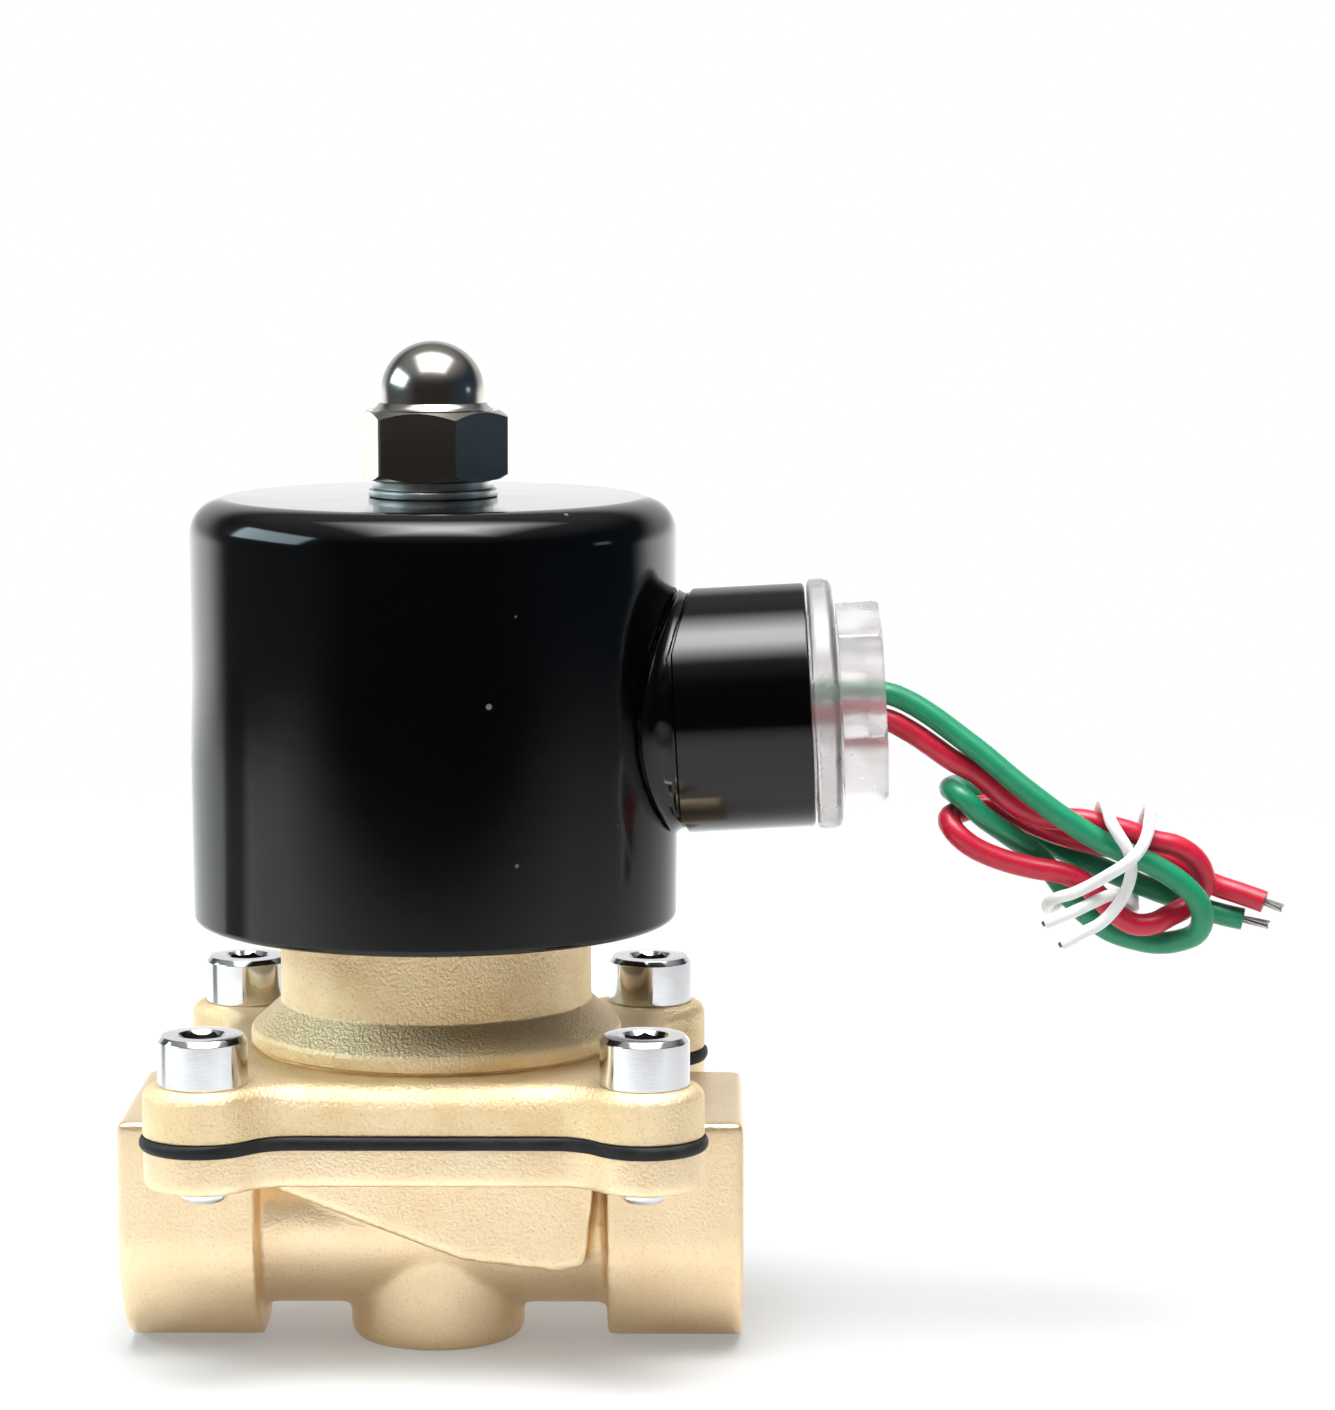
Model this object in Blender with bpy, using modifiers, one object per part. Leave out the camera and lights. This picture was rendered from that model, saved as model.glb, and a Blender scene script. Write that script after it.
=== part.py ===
"""A two-way, pilot-operated solenoid valve with half-inch ports, as its separate pieces.

Metres, +Z up. The origin is the centre of the boss's flat underside, +X points out of
the outlet port, and the armature tube, the plunger and the coil stand on the Z axis.
"""

import bisect
import math

import bmesh
import bpy
from mathutils import Matrix, Vector

MM = 0.001
GAP = 0.3 * MM  # kept between pieces that touch on the real valve

# Body
BODY_HALF_LENGTH = 32.3 * MM
PORT_AXIS_Z = 13.5 * MM
PORT_RADIUS = 9.5 * MM
PORT_DEPTH = 13.2 * MM
COLLAR_INNER_X = 18.3 * MM
WAIST_RADIUS = 10.1 * MM
BOSS_RADIUS = 9.3 * MM
BOSS_ROUNDING = 3.0 * MM
CHAMBER_HALF_WIDTH = 14.5 * MM
SEAT_RADIUS = 7.5 * MM
SEAT_WALL_RADIUS = 9.3 * MM
SEAT_Z = 20.3 * MM

# Flanges, with four lobes for the cap screws
SCREW_SPACING = 45.0 * MM
LOBE_RADIUS = 6.15 * MM
FLANGE_HALF_WIDTH = 23.6 * MM
FLANGE_FILLET = 6.0 * MM
BODY_FLANGE_Z = (21.1 * MM, 25.1 * MM)
RIM_Z = (25.4 * MM, 26.2 * MM)
BONNET_FLANGE_Z = (26.5 * MM, 31.7 * MM)
SCREW_RADIUS = 2.5 * MM
SCREW_HOLE_RADIUS = SCREW_RADIUS + GAP
SCREW_HEAD_RADIUS = 4.6 * MM
SCREW_HEAD_Z = (BONNET_FLANGE_Z[1] + GAP, 36.8 * MM)
SCREW_TIP_Z = 19.7 * MM
HEX_KEY_ACROSS = 4.0 * MM

# Bonnet, armature tube and plunger
CONE_BASE_RADIUS = 19.7 * MM
CONE_BASE_Z = 33.3 * MM
NECK_RADIUS = 16.5 * MM
NECK_Z = (36.5 * MM, 44.7 * MM)
DIAPHRAGM_RADIUS = 17.4 * MM
TUBE_INNER_RADIUS = 6.35 * MM
TUBE_OUTER_RADIUS = 6.9 * MM
TUBE_Z = (35.0 * MM, 66.3 * MM)
PLUNGER_RADIUS = 6.0 * MM
PLUNGER_TOP_Z = 53.0 * MM
PLUNGER_STROKE = 4.0 * MM
CORE_FACE_Z = PLUNGER_TOP_Z + PLUNGER_STROKE + GAP

# Coil
CAN_RADIUS = 25.57 * MM  # at the bottom: the can widens a little towards its top
CAN_TOP_RADIUS = 25.85 * MM
CAN_WALL = 1.2 * MM
CAN_Z = (45.2 * MM, 89.9 * MM)
CAN_ROUNDING = 4.0 * MM
BORE_CLEARANCE_RADIUS = TUBE_OUTER_RADIUS + GAP
HUB_RADIUS = 12.9 * MM
HUB_INNER_RADIUS = 10.2 * MM
HUB_END = 39.7 * MM  # along the hub's own axis, from the Z axis
HUB_TILT = math.radians(3.0)
HUB_ROOT_Z = 65.8 * MM  # where the hub's axis meets the Z axis
BUSHING_HEX_RADIUS = 10.8 * MM
BUSHING_END = 47.5 * MM
BUSHING_BORE_RADIUS = 3.6 * MM

# Nut on top
NUT_HEX_RADIUS = 8.2 * MM
NUT_HEX_Z = (91.8 * MM, 99.0 * MM)
NUT_DOME_RADIUS = 5.6 * MM
NUT_TURN = math.radians(-10.0)
STUD_RADIUS = 4.0 * MM
STUD_TOP_Z = 97.5 * MM

# Leads
LEAD_RADIUS = 1.2 * MM
CONDUCTOR_RADIUS = 0.45 * MM
TIE_RADIUS = 0.65 * MM
LEAD_SPACING = 2.4 * MM
TIE_SPACING = 2.0 * MM
SPLICE_START_X = 26.5 * MM
LEAD_START_X = 33.6 * MM

GREEN_ROUTE_MM = [
    (33.6, 0, 69.0), (38.0, 0, 69.2), (43.0, 0, 69.4), (47.4, 0, 69.1), (49.8, 0, 68.3),
    (52.4, -0.3, 66.8), (55.3, -0.8, 64.7), (58.1, -1.4, 62.6), (61.0, -2.1, 60.2),
    (63.6, -2.6, 58.2), (65.9, -2.8, 56.5), (68.5, -2.8, 54.8), (70.9, -2.8, 53.4),
    (73.5, -2.7, 52.2), (75.8, -2.7, 51.2), (78.4, -2.6, 49.6), (80.5, -2.4, 47.6),
    (81.3, -2.0, 45.5), (80.8, -0.8, 43.5), (78.9, 0.6, 42.4), (76.6, 1.3, 42.1),
    (74.0, 1.4, 42.6), (71.6, 1.3, 43.5), (69.3, 1.2, 45.2), (67.4, 1.2, 47.2),
    (66.1, 1.4, 49.0), (64.7, 1.5, 50.7), (63.1, 1.2, 52.2), (60.4, 0.2, 54.2),
    (57.9, -0.9, 56.1), (56.2, -1.5, 57.8), (55.0, -0.6, 58.6), (54.7, 1.6, 58.7),
    (55.6, 3.9, 58.6), (57.3, 5.1, 57.9), (59.4, 5.4, 56.4), (62.0, 5.2, 54.5),
    (64.8, 4.9, 52.7), (68.0, 4.4, 51.1), (70.9, 3.9, 49.8), (73.8, 3.6, 48.6),
    (76.8, 3.6, 47.4), (79.5, 3.8, 46.4), (81.5, 3.8, 45.5), (83.9, 3.6, 44.8),
    (86.2, 3.4, 44.3),
]
RED_ROUTE_MM = [
    (33.6, 0, 66.2), (38.0, 0, 66.5), (43.0, 0, 66.7), (47.5, 0, 66.3), (50.1, 0, 65.1),
    (52.4, -0.1, 63.6), (54.7, -0.2, 62.0), (57.5, -0.1, 60.4), (60.3, 0, 58.0),
    (62.6, 0.1, 56.5), (65.0, 0.2, 55.7), (67.3, 0, 55.6), (69.0, -0.2, 55.5),
    (71.0, -0.4, 55.0), (73.4, -0.5, 54.4), (76.0, -0.5, 53.4), (78.6, -0.5, 52.8),
    (80.7, -0.2, 51.3), (81.7, 0.3, 49.1), (81.0, 0.7, 47.2), (79.7, 0.6, 46.0),
    (78.0, -0.2, 45.3), (76.2, -1.1, 44.6), (74.1, -1.5, 44.6), (72.1, -1.6, 45.8),
    (70.5, -1.6, 47.4), (68.5, -1.7, 49.2), (66.1, -1.8, 50.2), (63.2, -1.8, 50.7),
    (60.2, -1.9, 51.5), (57.3, -1.9, 52.7), (55.4, -1.7, 54.1), (54.5, -0.8, 55.3),
    (54.7, 0.5, 55.9), (55.9, 1.5, 56.2), (57.5, 2.1, 56.6), (59.0, 2.4, 56.6),
    (61.1, 2.6, 55.9), (63.4, 2.6, 54.8), (66.4, 2.5, 53.6), (69.3, 2.4, 52.8),
    (72.2, 2.4, 52.2), (75.1, 2.4, 51.5), (78.1, 2.7, 50.6), (80.8, 3.2, 49.2),
    (83.2, 3.3, 48.0), (85.8, 2.7, 47.2), (88.3, 2.0, 46.4),
]
TIE_ROUTE_MM = [
    (64.4, -4.6, 45.2), (66.9, -4.6, 46.2), (69.5, -4.3, 47.4), (71.5, -3.6, 48.1),
    (73.2, -1.8, 47.6), (74.1, 0.8, 46.2), (74.5, 3.6, 45.7), (74.7, 6.2, 47.6),
    (74.9, 6.1, 51.3), (75.4, 4.6, 54.2), (75.8, 2.2, 56.2), (75.8, -0.4, 56.9),
    (75.5, -2.9, 56.2), (75.0, -5.0, 54.7), (74.1, -6.2, 53.2), (72.7, -6.6, 51.9),
    (70.9, -6.0, 50.6), (69.1, -4.8, 49.3), (67.3, -4.1, 48.3), (65.8, -3.2, 47.7),
    (65.0, -1.4, 46.8), (65.2, 1.0, 45.9), (66.2, 3.4, 45.9), (67.8, 5.6, 46.9),
    (69.2, 6.8, 49.1), (70.0, 6.4, 51.8), (70.5, 4.6, 54.4), (70.8, 2.2, 56.6),
    (70.9, -0.4, 57.5), (71.0, -2.7, 57.1), (71.3, -4.4, 55.9), (72.1, -5.0, 54.6),
    (73.0, -5.0, 53.1), (73.4, -4.9, 51.5), (73.3, -4.8, 50.0), (72.7, -4.8, 48.3),
    (71.6, -4.8, 46.6), (70.1, -5.0, 45.2), (68.1, -5.2, 44.2), (66.1, -5.4, 43.1),
]

PARTS = None
CUTTERS = None
MATERIALS = {}


def start_scene():
    """Empties the scene and makes the collections and the materials."""
    global PARTS, CUTTERS
    for obj in list(bpy.data.objects):
        bpy.data.objects.remove(obj)
    PARTS = bpy.data.collections.new("solenoid_valve")
    CUTTERS = bpy.data.collections.new("cutters")
    for collection in (PARTS, CUTTERS):
        bpy.context.scene.collection.children.link(collection)
    looks = {
        "cast_brass": ((0.78, 0.60, 0.34), 0.45, 1.0),
        "turned_brass": ((0.80, 0.62, 0.30), 0.25, 1.0),
        "steel": ((0.62, 0.62, 0.64), 0.30, 1.0),
        "chrome": ((0.80, 0.79, 0.77), 0.12, 1.0),
        "copper": ((0.78, 0.38, 0.22), 0.35, 1.0),
        "black_paint": ((0.010, 0.010, 0.011), 0.12, 0.0),
        "rubber": ((0.018, 0.018, 0.020), 0.70, 0.0),
        "nylon": ((0.82, 0.80, 0.74), 0.50, 0.0),
        "tape": ((0.85, 0.66, 0.12), 0.40, 0.0),
        "resin": ((0.08, 0.07, 0.06), 0.35, 0.0),
        "clear_plastic": ((0.86, 0.85, 0.84), 0.15, 0.0),
        "green_pvc": ((0.010, 0.290, 0.125), 0.35, 0.0),
        "red_pvc": ((0.600, 0.010, 0.035), 0.35, 0.0),
        "white_pvc": ((0.88, 0.88, 0.87), 0.40, 0.0),
        "tinned_wire": ((0.55, 0.55, 0.56), 0.35, 1.0),
    }
    for name, (colour, roughness, metallic) in looks.items():
        material = bpy.data.materials.new(name)
        material.use_nodes = True
        shader = material.node_tree.nodes["Principled BSDF"]
        shader.inputs["Base Color"].default_value = (*colour, 1.0)
        shader.inputs["Roughness"].default_value = roughness
        shader.inputs["Metallic"].default_value = metallic
        MATERIALS[name] = material


# ---------------------------------------------------------------- helpers


def add_object(name, mesh, material=None, parent=None):
    """A part when it has a material, and a hidden helper when it has none."""
    obj = bpy.data.objects.new(name, mesh)
    obj.parent = parent
    if material:
        PARTS.objects.link(obj)
        mesh.materials.append(MATERIALS[material])
        mesh.shade_smooth()
        mesh.set_sharp_from_angle(angle=math.radians(35))
    else:
        CUTTERS.objects.link(obj)
        obj.hide_render = True
        obj.display_type = "WIRE"
    return obj


def mesh_from(name, build):
    """A mesh that the function build makes in a bmesh."""
    bm = bmesh.new()
    build(bm)
    bmesh.ops.recalc_face_normals(bm, faces=bm.faces)
    mesh = bpy.data.meshes.new(name)
    bm.to_mesh(mesh)
    bm.free()
    return mesh


def box(name, low, high, material=None, parent=None):
    size = Vector(high) - Vector(low)
    place = Matrix.Translation((Vector(low) + Vector(high)) / 2)

    def build(bm):
        bmesh.ops.create_cube(bm, size=1.0, matrix=place @ Matrix.Diagonal((*size, 1.0)))

    return add_object(name, mesh_from(name, build), material, parent)


def prism(name, radius, z_low, z_high, sides=24, turn=0.0, material=None, parent=None):
    """An upright cylinder, or a hexagonal bar when sides is 6."""
    place = Matrix.Translation((0, 0, (z_low + z_high) / 2)) @ Matrix.Rotation(turn, 4, "Z")

    def build(bm):
        bmesh.ops.create_cone(bm, cap_ends=True, segments=sides, radius1=radius,
                              radius2=radius, depth=z_high - z_low, matrix=place)

    return add_object(name, mesh_from(name, build), material, parent)


def turned(name, profile, material=None, steps=24, closed=False, parent=None):
    """A profile of (radius, z) turned about Z: from the top down its outer side, and
    then, where it is closed, up its inner side."""
    mesh = bpy.data.meshes.new(name)
    edges = [(i, i + 1) for i in range(len(profile) - 1)]
    if closed:
        edges.append((len(profile) - 1, 0))
    mesh.from_pydata([(r, 0.0, z) for r, z in profile], edges, [])
    obj = add_object(name, mesh, material, parent)
    screw = obj.modifiers.new("turn", "SCREW")
    screw.steps = screw.render_steps = steps
    screw.use_smooth_shade = True
    screw.use_merge_vertices = True
    screw.merge_threshold = 1e-6
    return obj


def ring(name, inner, outer, z_low, z_high, material=None, steps=24, parent=None):
    profile = [(inner, z_high), (outer, z_high), (outer, z_low), (inner, z_low)]
    return turned(name, profile, material, steps, closed=True, parent=parent)


def arc(centre, radius, start, end, steps):
    """Points on an arc in a plane, with the angles in degrees."""
    angles = [math.radians(start + (end - start) * i / steps) for i in range(steps + 1)]
    return [(centre[0] + radius * math.cos(a), centre[1] + radius * math.sin(a)) for a in angles]


def extruded(name, outline, low, high, axis="Z", material=None, parent=None):
    """A flat outline, drawn in the plane square to the axis, extruded from low to high."""
    curve = bpy.data.curves.new(name, "CURVE")
    curve.dimensions = "2D"
    curve.fill_mode = "BOTH"
    curve.extrude = (high - low) / 2
    spline = curve.splines.new("POLY")
    spline.points.add(len(outline) - 1)
    for point, (a, b) in zip(spline.points, outline):
        point.co = (a, b, 0.0, 1.0)
    spline.use_cyclic_u = True
    guide = bpy.data.objects.new(name + "_outline", curve)
    CUTTERS.objects.link(guide)
    turn = {"Z": Matrix.Identity(4),
            "X": Matrix(((0, 0, 1, 0), (1, 0, 0, 0), (0, 1, 0, 0), (0, 0, 0, 1))),
            "Y": Matrix(((1, 0, 0, 0), (0, 0, -1, 0), (0, 1, 0, 0), (0, 0, 0, 1)))}[axis]
    middle = (low + high) / 2
    offset = Matrix.Translation({"Z": (0, 0, middle), "X": (middle, 0, 0), "Y": (0, middle, 0)}[axis])
    mesh = mesh_of(guide)
    mesh.transform(offset @ turn)
    bpy.data.objects.remove(guide)
    return add_object(name, mesh, material, parent)


def mesh_of(obj):
    """A closed mesh copied from a curve object, with its loose caps welded on."""
    bpy.context.view_layer.update()
    evaluated = obj.evaluated_get(bpy.context.evaluated_depsgraph_get())
    mesh = bpy.data.meshes.new_from_object(evaluated)
    bm = bmesh.new()
    bm.from_mesh(mesh)
    bmesh.ops.remove_doubles(bm, verts=bm.verts, dist=1e-7)
    bmesh.ops.recalc_face_normals(bm, faces=bm.faces)
    bm.to_mesh(mesh)
    bm.free()
    return mesh


def combine(obj, other, operation):
    """Adds a Boolean modifier: UNION joins the other object on, DIFFERENCE cuts it away."""
    modifier = obj.modifiers.new(other.name, "BOOLEAN")
    modifier.operation = operation
    modifier.object = other


def join(obj, *others):
    for other in others:
        combine(obj, other, "UNION")


def cut(obj, *others):
    for other in others:
        combine(obj, other, "DIFFERENCE")


def lie_along_x(obj, z):
    """Turns an upright helper so that its +Z points along +X at the given height."""
    obj.rotation_euler = (0, math.radians(90), 0)
    obj.location = (0, 0, z)
    return obj


def smooth_points(route, spacing, steps=12):
    """Points at about this spacing on a Catmull-Rom curve through the route."""
    points = [Vector(p) * MM for p in route]
    ends = [points[0] * 2 - points[1], *points, points[-1] * 2 - points[-2]]
    fine = []
    for a, b, c, d in zip(ends, ends[1:], ends[2:], ends[3:]):
        for step in range(steps):
            t = step / steps
            fine.append(0.5 * (2 * b + (c - a) * t + (2 * a - 5 * b + 4 * c - d) * t**2
                               + (3 * b - a - 3 * c + d) * t**3))
    fine.append(points[-1])
    travelled = [0.0]
    for a, b in zip(fine, fine[1:]):
        travelled.append(travelled[-1] + (b - a).length)
    count = round(travelled[-1] / spacing)
    return [fine[bisect.bisect_left(travelled, travelled[-1] * i / count)] for i in range(count)] + [fine[-1]]


def wire(name, points, radius, material, parent=None, resolution=2):
    """A round wire along the points, as a curve with filled caps."""
    curve = bpy.data.curves.new(name, "CURVE")
    curve.dimensions = "3D"
    curve.bevel_depth = radius
    curve.bevel_resolution = resolution
    curve.use_fill_caps = True
    spline = curve.splines.new("POLY")
    spline.points.add(len(points) - 1)
    for point, place in zip(spline.points, points):
        point.co = (*place, 1.0)
    curve.materials.append(MATERIALS[material])
    obj = bpy.data.objects.new(name, curve)
    obj.parent = parent
    PARTS.objects.link(obj)
    return obj


# ---------------------------------------------------------------- flanges and screws


def screw_places():
    half = SCREW_SPACING / 2
    return [(-half, -half), (half, -half), (half, half), (-half, half)]


def flange_outline(proud=0.0, steps=7):
    """A square with a round lobe at each corner and a hollow fillet on each side of it."""
    half = SCREW_SPACING / 2
    lobe, side, fillet = LOBE_RADIUS + proud, FLANGE_HALF_WIDTH + proud, FLANGE_FILLET - proud
    drop = side + fillet - half
    along = math.sqrt((lobe + fillet) ** 2 - drop**2)
    lean = math.degrees(math.atan2(drop, along))
    corner = []
    corner += arc((half - along, -side - fillet), fillet, 90, lean, 3)
    corner += arc((half, -half), lobe, 180 + lean, 450 - lean, steps)
    corner += arc((side + fillet, along - half), fillet, 270 - lean, 180, 3)
    outline = []
    for quarter in range(4):
        turn = Matrix.Rotation(math.radians(90 * quarter), 2)
        outline += [tuple(turn @ Vector(point)) for point in corner]
    return [p for p, q in zip(outline, outline[1:] + outline[:1]) if math.dist(p, q) > 1e-6]


def screw_hole_cutters(name, z_low, z_high):
    found = []
    for number, (x, y) in enumerate(screw_places(), 1):
        hole = prism(f"{name}_screw_hole_{number}", SCREW_HOLE_RADIUS, z_low, z_high, sides=16)
        hole.location = (x, y, 0)
        found.append(hole)
    return found


def make_cap_screws():
    low, high = SCREW_HEAD_Z
    chamfer = 0.6 * MM
    profile = [(0, high), (SCREW_HEAD_RADIUS - chamfer, high), (SCREW_HEAD_RADIUS, high - chamfer),
               (SCREW_HEAD_RADIUS, low), (SCREW_RADIUS, low),
               (SCREW_RADIUS, SCREW_TIP_Z + chamfer), (SCREW_RADIUS - chamfer, SCREW_TIP_Z),
               (0, SCREW_TIP_Z)]
    socket = prism("hex_socket", HEX_KEY_ACROSS / math.sqrt(3), high - 2.6 * MM, high + MM, sides=6)
    for number, (x, y) in enumerate(screw_places(), 1):
        screw = turned(f"cap_screw_{number}", profile, "chrome", steps=18)
        screw.location = (x, y, 0)
        key = bpy.data.objects.new(f"hex_socket_{number}", socket.data)
        key.location = (x, y, 0)
        key.rotation_euler = (0, 0, math.radians(10 + 25 * number))
        key.hide_render = True
        key.display_type = "WIRE"
        CUTTERS.objects.link(key)
        cut(screw, key)


# ---------------------------------------------------------------- body


def make_valve_body():
    body = extruded("valve_body", flange_outline(), *BODY_FLANGE_Z, material="cast_brass")
    waist = lie_along_x(prism("waist", WAIST_RADIUS, -20 * MM, 20 * MM), PORT_AXIS_Z)
    radius = 13.5 * MM
    section = arc((0, PORT_AXIS_Z), radius, 180, 360, 18)
    section += [(radius, BODY_FLANGE_Z[1]), (-radius, BODY_FLANGE_Z[1])]
    collars = [extruded("inlet_collar", section, -BODY_HALF_LENGTH, -COLLAR_INNER_X, "X"),
               extruded("outlet_collar", section, COLLAR_INNER_X, BODY_HALF_LENGTH, "X")]
    boss_profile = [(0, 12 * MM), (BOSS_RADIUS, 12 * MM)]
    boss_profile += arc((BOSS_RADIUS - BOSS_ROUNDING, BOSS_ROUNDING), BOSS_ROUNDING, 0, -90, 4)
    boss_profile += [(0, 0)]
    boss = turned("boss", boss_profile)
    sides = [(-20, 22), (-15.5, 18.4), (3.4, 11.1), (16.4, 9.7), (17.4, 22)]
    chamber = extruded("chamber_block", [(x * MM, z * MM) for x, z in sides],
                       -CHAMBER_HALF_WIDTH, CHAMBER_HALF_WIDTH, "Y")
    join(body, waist, *collars, boss, chamber)

    port_end = BODY_HALF_LENGTH - PORT_DEPTH
    ports = [
        lie_along_x(prism("outlet_bore", PORT_RADIUS, port_end, BODY_HALF_LENGTH + MM), PORT_AXIS_Z),
        lie_along_x(prism("inlet_bore", PORT_RADIUS, -BODY_HALF_LENGTH - MM, -port_end), PORT_AXIS_Z),
    ]
    shallow = ring("diaphragm_chamber", SEAT_WALL_RADIUS, 17.6 * MM, 22.6 * MM, 26 * MM)
    deep = ring("seat_channel", SEAT_WALL_RADIUS, 13.0 * MM, 18.4 * MM, 23 * MM)
    over_seat = prism("space_over_seat", SEAT_WALL_RADIUS + 0.1 * MM, SEAT_Z, 26 * MM)
    seat_bore = prism("seat_bore", SEAT_RADIUS, 7 * MM, 21 * MM)
    outlet_way = lie_along_x(prism("outlet_way", 5.9 * MM, 0, port_end + MM, sides=24), 11 * MM)
    inlet_way = lie_along_x(
        prism("inlet_way", 6.2 * MM, -port_end - MM, -10.6 * MM, sides=24), 14.8 * MM)
    inlet_rise = box("inlet_rise", (-16 * MM, -6 * MM, 14.8 * MM), (-10.4 * MM, 6 * MM, 23 * MM))
    cut(body, *ports, shallow, deep, over_seat, seat_bore, outlet_way, inlet_way, inlet_rise)
    cut(body, *screw_hole_cutters("body", 20 * MM, 27 * MM))


# ---------------------------------------------------------------- bonnet and tube


def make_bonnet():
    bonnet = extruded("bonnet", flange_outline(), *BONNET_FLANGE_Z, material="cast_brass")
    tower = turned("bonnet_tower", [
        (0, NECK_Z[1]), (NECK_RADIUS, NECK_Z[1]), (NECK_RADIUS, NECK_Z[0]),
        (CONE_BASE_RADIUS, CONE_BASE_Z), (CONE_BASE_RADIUS, 28 * MM),
        (0, 28 * MM)], steps=40)
    join(bonnet, tower)
    space = turned("bonnet_space", [
        (0, 46 * MM), (9.9 * MM, 46 * MM), (9.9 * MM, 39.9 * MM), (9.2 * MM, 39.9 * MM),
        (9.2 * MM, 38.1 * MM), (BORE_CLEARANCE_RADIUS, 38.1 * MM),
        (BORE_CLEARANCE_RADIUS, 35.5 * MM), (12 * MM, 34.4 * MM),
        (DIAPHRAGM_RADIUS, 29.5 * MM), (DIAPHRAGM_RADIUS, 26 * MM), (0, 26 * MM)])
    cut(bonnet, space, *screw_hole_cutters("bonnet", 26 * MM, 33 * MM))


def make_tube():
    flange_low, flange_high = 40.2 * MM, 41.4 * MM
    flange_radius = 9.6 * MM
    low, high = TUBE_Z
    turned("armature_tube", [
        (TUBE_INNER_RADIUS, high), (TUBE_OUTER_RADIUS, high), (TUBE_OUTER_RADIUS, flange_high),
        (flange_radius, flange_high), (flange_radius, flange_low),
        (TUBE_OUTER_RADIUS, flange_low), (TUBE_OUTER_RADIUS, low), (TUBE_INNER_RADIUS, low),
    ], "steel", closed=True)
    seal_section = arc((8.2 * MM, 39.0 * MM), 0.7 * MM, 90, -270, 6)[:-1]
    turned("tube_o_ring", seal_section, "rubber", closed=True)
    nut = ring("tube_ring_nut", BORE_CLEARANCE_RADIUS, flange_radius,
               flange_high + GAP, 44.4 * MM, "turned_brass")
    cut(nut, box("spanner_slot", (-11 * MM, -1.2 * MM, 43.2 * MM), (11 * MM, 1.2 * MM, 45 * MM)))


def make_fixed_core():
    foot_radius = TUBE_INNER_RADIUS - GAP
    shoulder_z = TUBE_Z[1] + GAP
    top_z = CAN_Z[1] - CAN_WALL - GAP
    core = turned("fixed_core", [
        (0, STUD_TOP_Z), (STUD_RADIUS - 0.6 * MM, STUD_TOP_Z), (STUD_RADIUS, STUD_TOP_Z - 0.6 * MM),
        (STUD_RADIUS, top_z), (TUBE_OUTER_RADIUS, top_z), (TUBE_OUTER_RADIUS, shoulder_z),
        (foot_radius, shoulder_z), (foot_radius, CORE_FACE_Z), (0, CORE_FACE_Z)], "steel")
    cut(core, ring("shading_ring_groove", 4.1 * MM, 5.5 * MM, CORE_FACE_Z - MM, CORE_FACE_Z + 1.7 * MM))
    ring("shading_ring", 4.4 * MM, 5.2 * MM, CORE_FACE_Z + 0.3 * MM, CORE_FACE_Z + 1.4 * MM, "copper")


# ---------------------------------------------------------------- diaphragm and plunger


def make_diaphragm():
    rim = extruded("diaphragm_rim", flange_outline(0.2 * MM), *RIM_Z, material="rubber")
    cut(rim, prism("rim_opening", DIAPHRAGM_RADIUS, 25 * MM, 27 * MM, sides=32))
    cut(rim, *screw_hole_cutters("rim", 25 * MM, 27 * MM))

    centre_line = [(9.5, 22.95), (11.0, 23.1), (12.5, 23.9), (14.0, 25.2), (15.6, 25.8), (17.1, 25.8)]
    half = 0.42 * MM
    upper = [(r * MM, z * MM + half) for r, z in centre_line]
    lower = [(r * MM, z * MM - half) for r, z in reversed(centre_line)]
    turned("diaphragm_web", upper + lower, "rubber", closed=True)

    stem_hole = 2.8 * MM
    ring("seat_seal", stem_hole, 9.0 * MM, SEAT_Z + GAP, 22.4 * MM, "rubber")
    ring("diaphragm_plate", stem_hole, 8.8 * MM, 22.7 * MM, 23.7 * MM, "steel")
    pilot_bore, stem, head, nozzle = 0.75 * MM, 2.5 * MM, 4.6 * MM, 1.7 * MM
    turned("pilot_insert", [
        (pilot_bore, 26.3 * MM), (nozzle, 26.3 * MM), (nozzle, 25.2 * MM), (head, 25.2 * MM),
        (head, 24.0 * MM), (stem, 24.0 * MM), (stem, 20.9 * MM), (pilot_bore, 20.9 * MM),
    ], "turned_brass", steps=24, closed=True)
    turned("lift_hanger", [
        (4.2 * MM, 30.4 * MM), (6.4 * MM, 30.4 * MM), (6.4 * MM, 24.0 * MM), (4.9 * MM, 24.0 * MM),
        (4.9 * MM, 24.9 * MM), (5.4 * MM, 24.9 * MM), (5.4 * MM, 29.6 * MM), (4.2 * MM, 29.6 * MM),
    ], "steel", closed=True)


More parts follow.
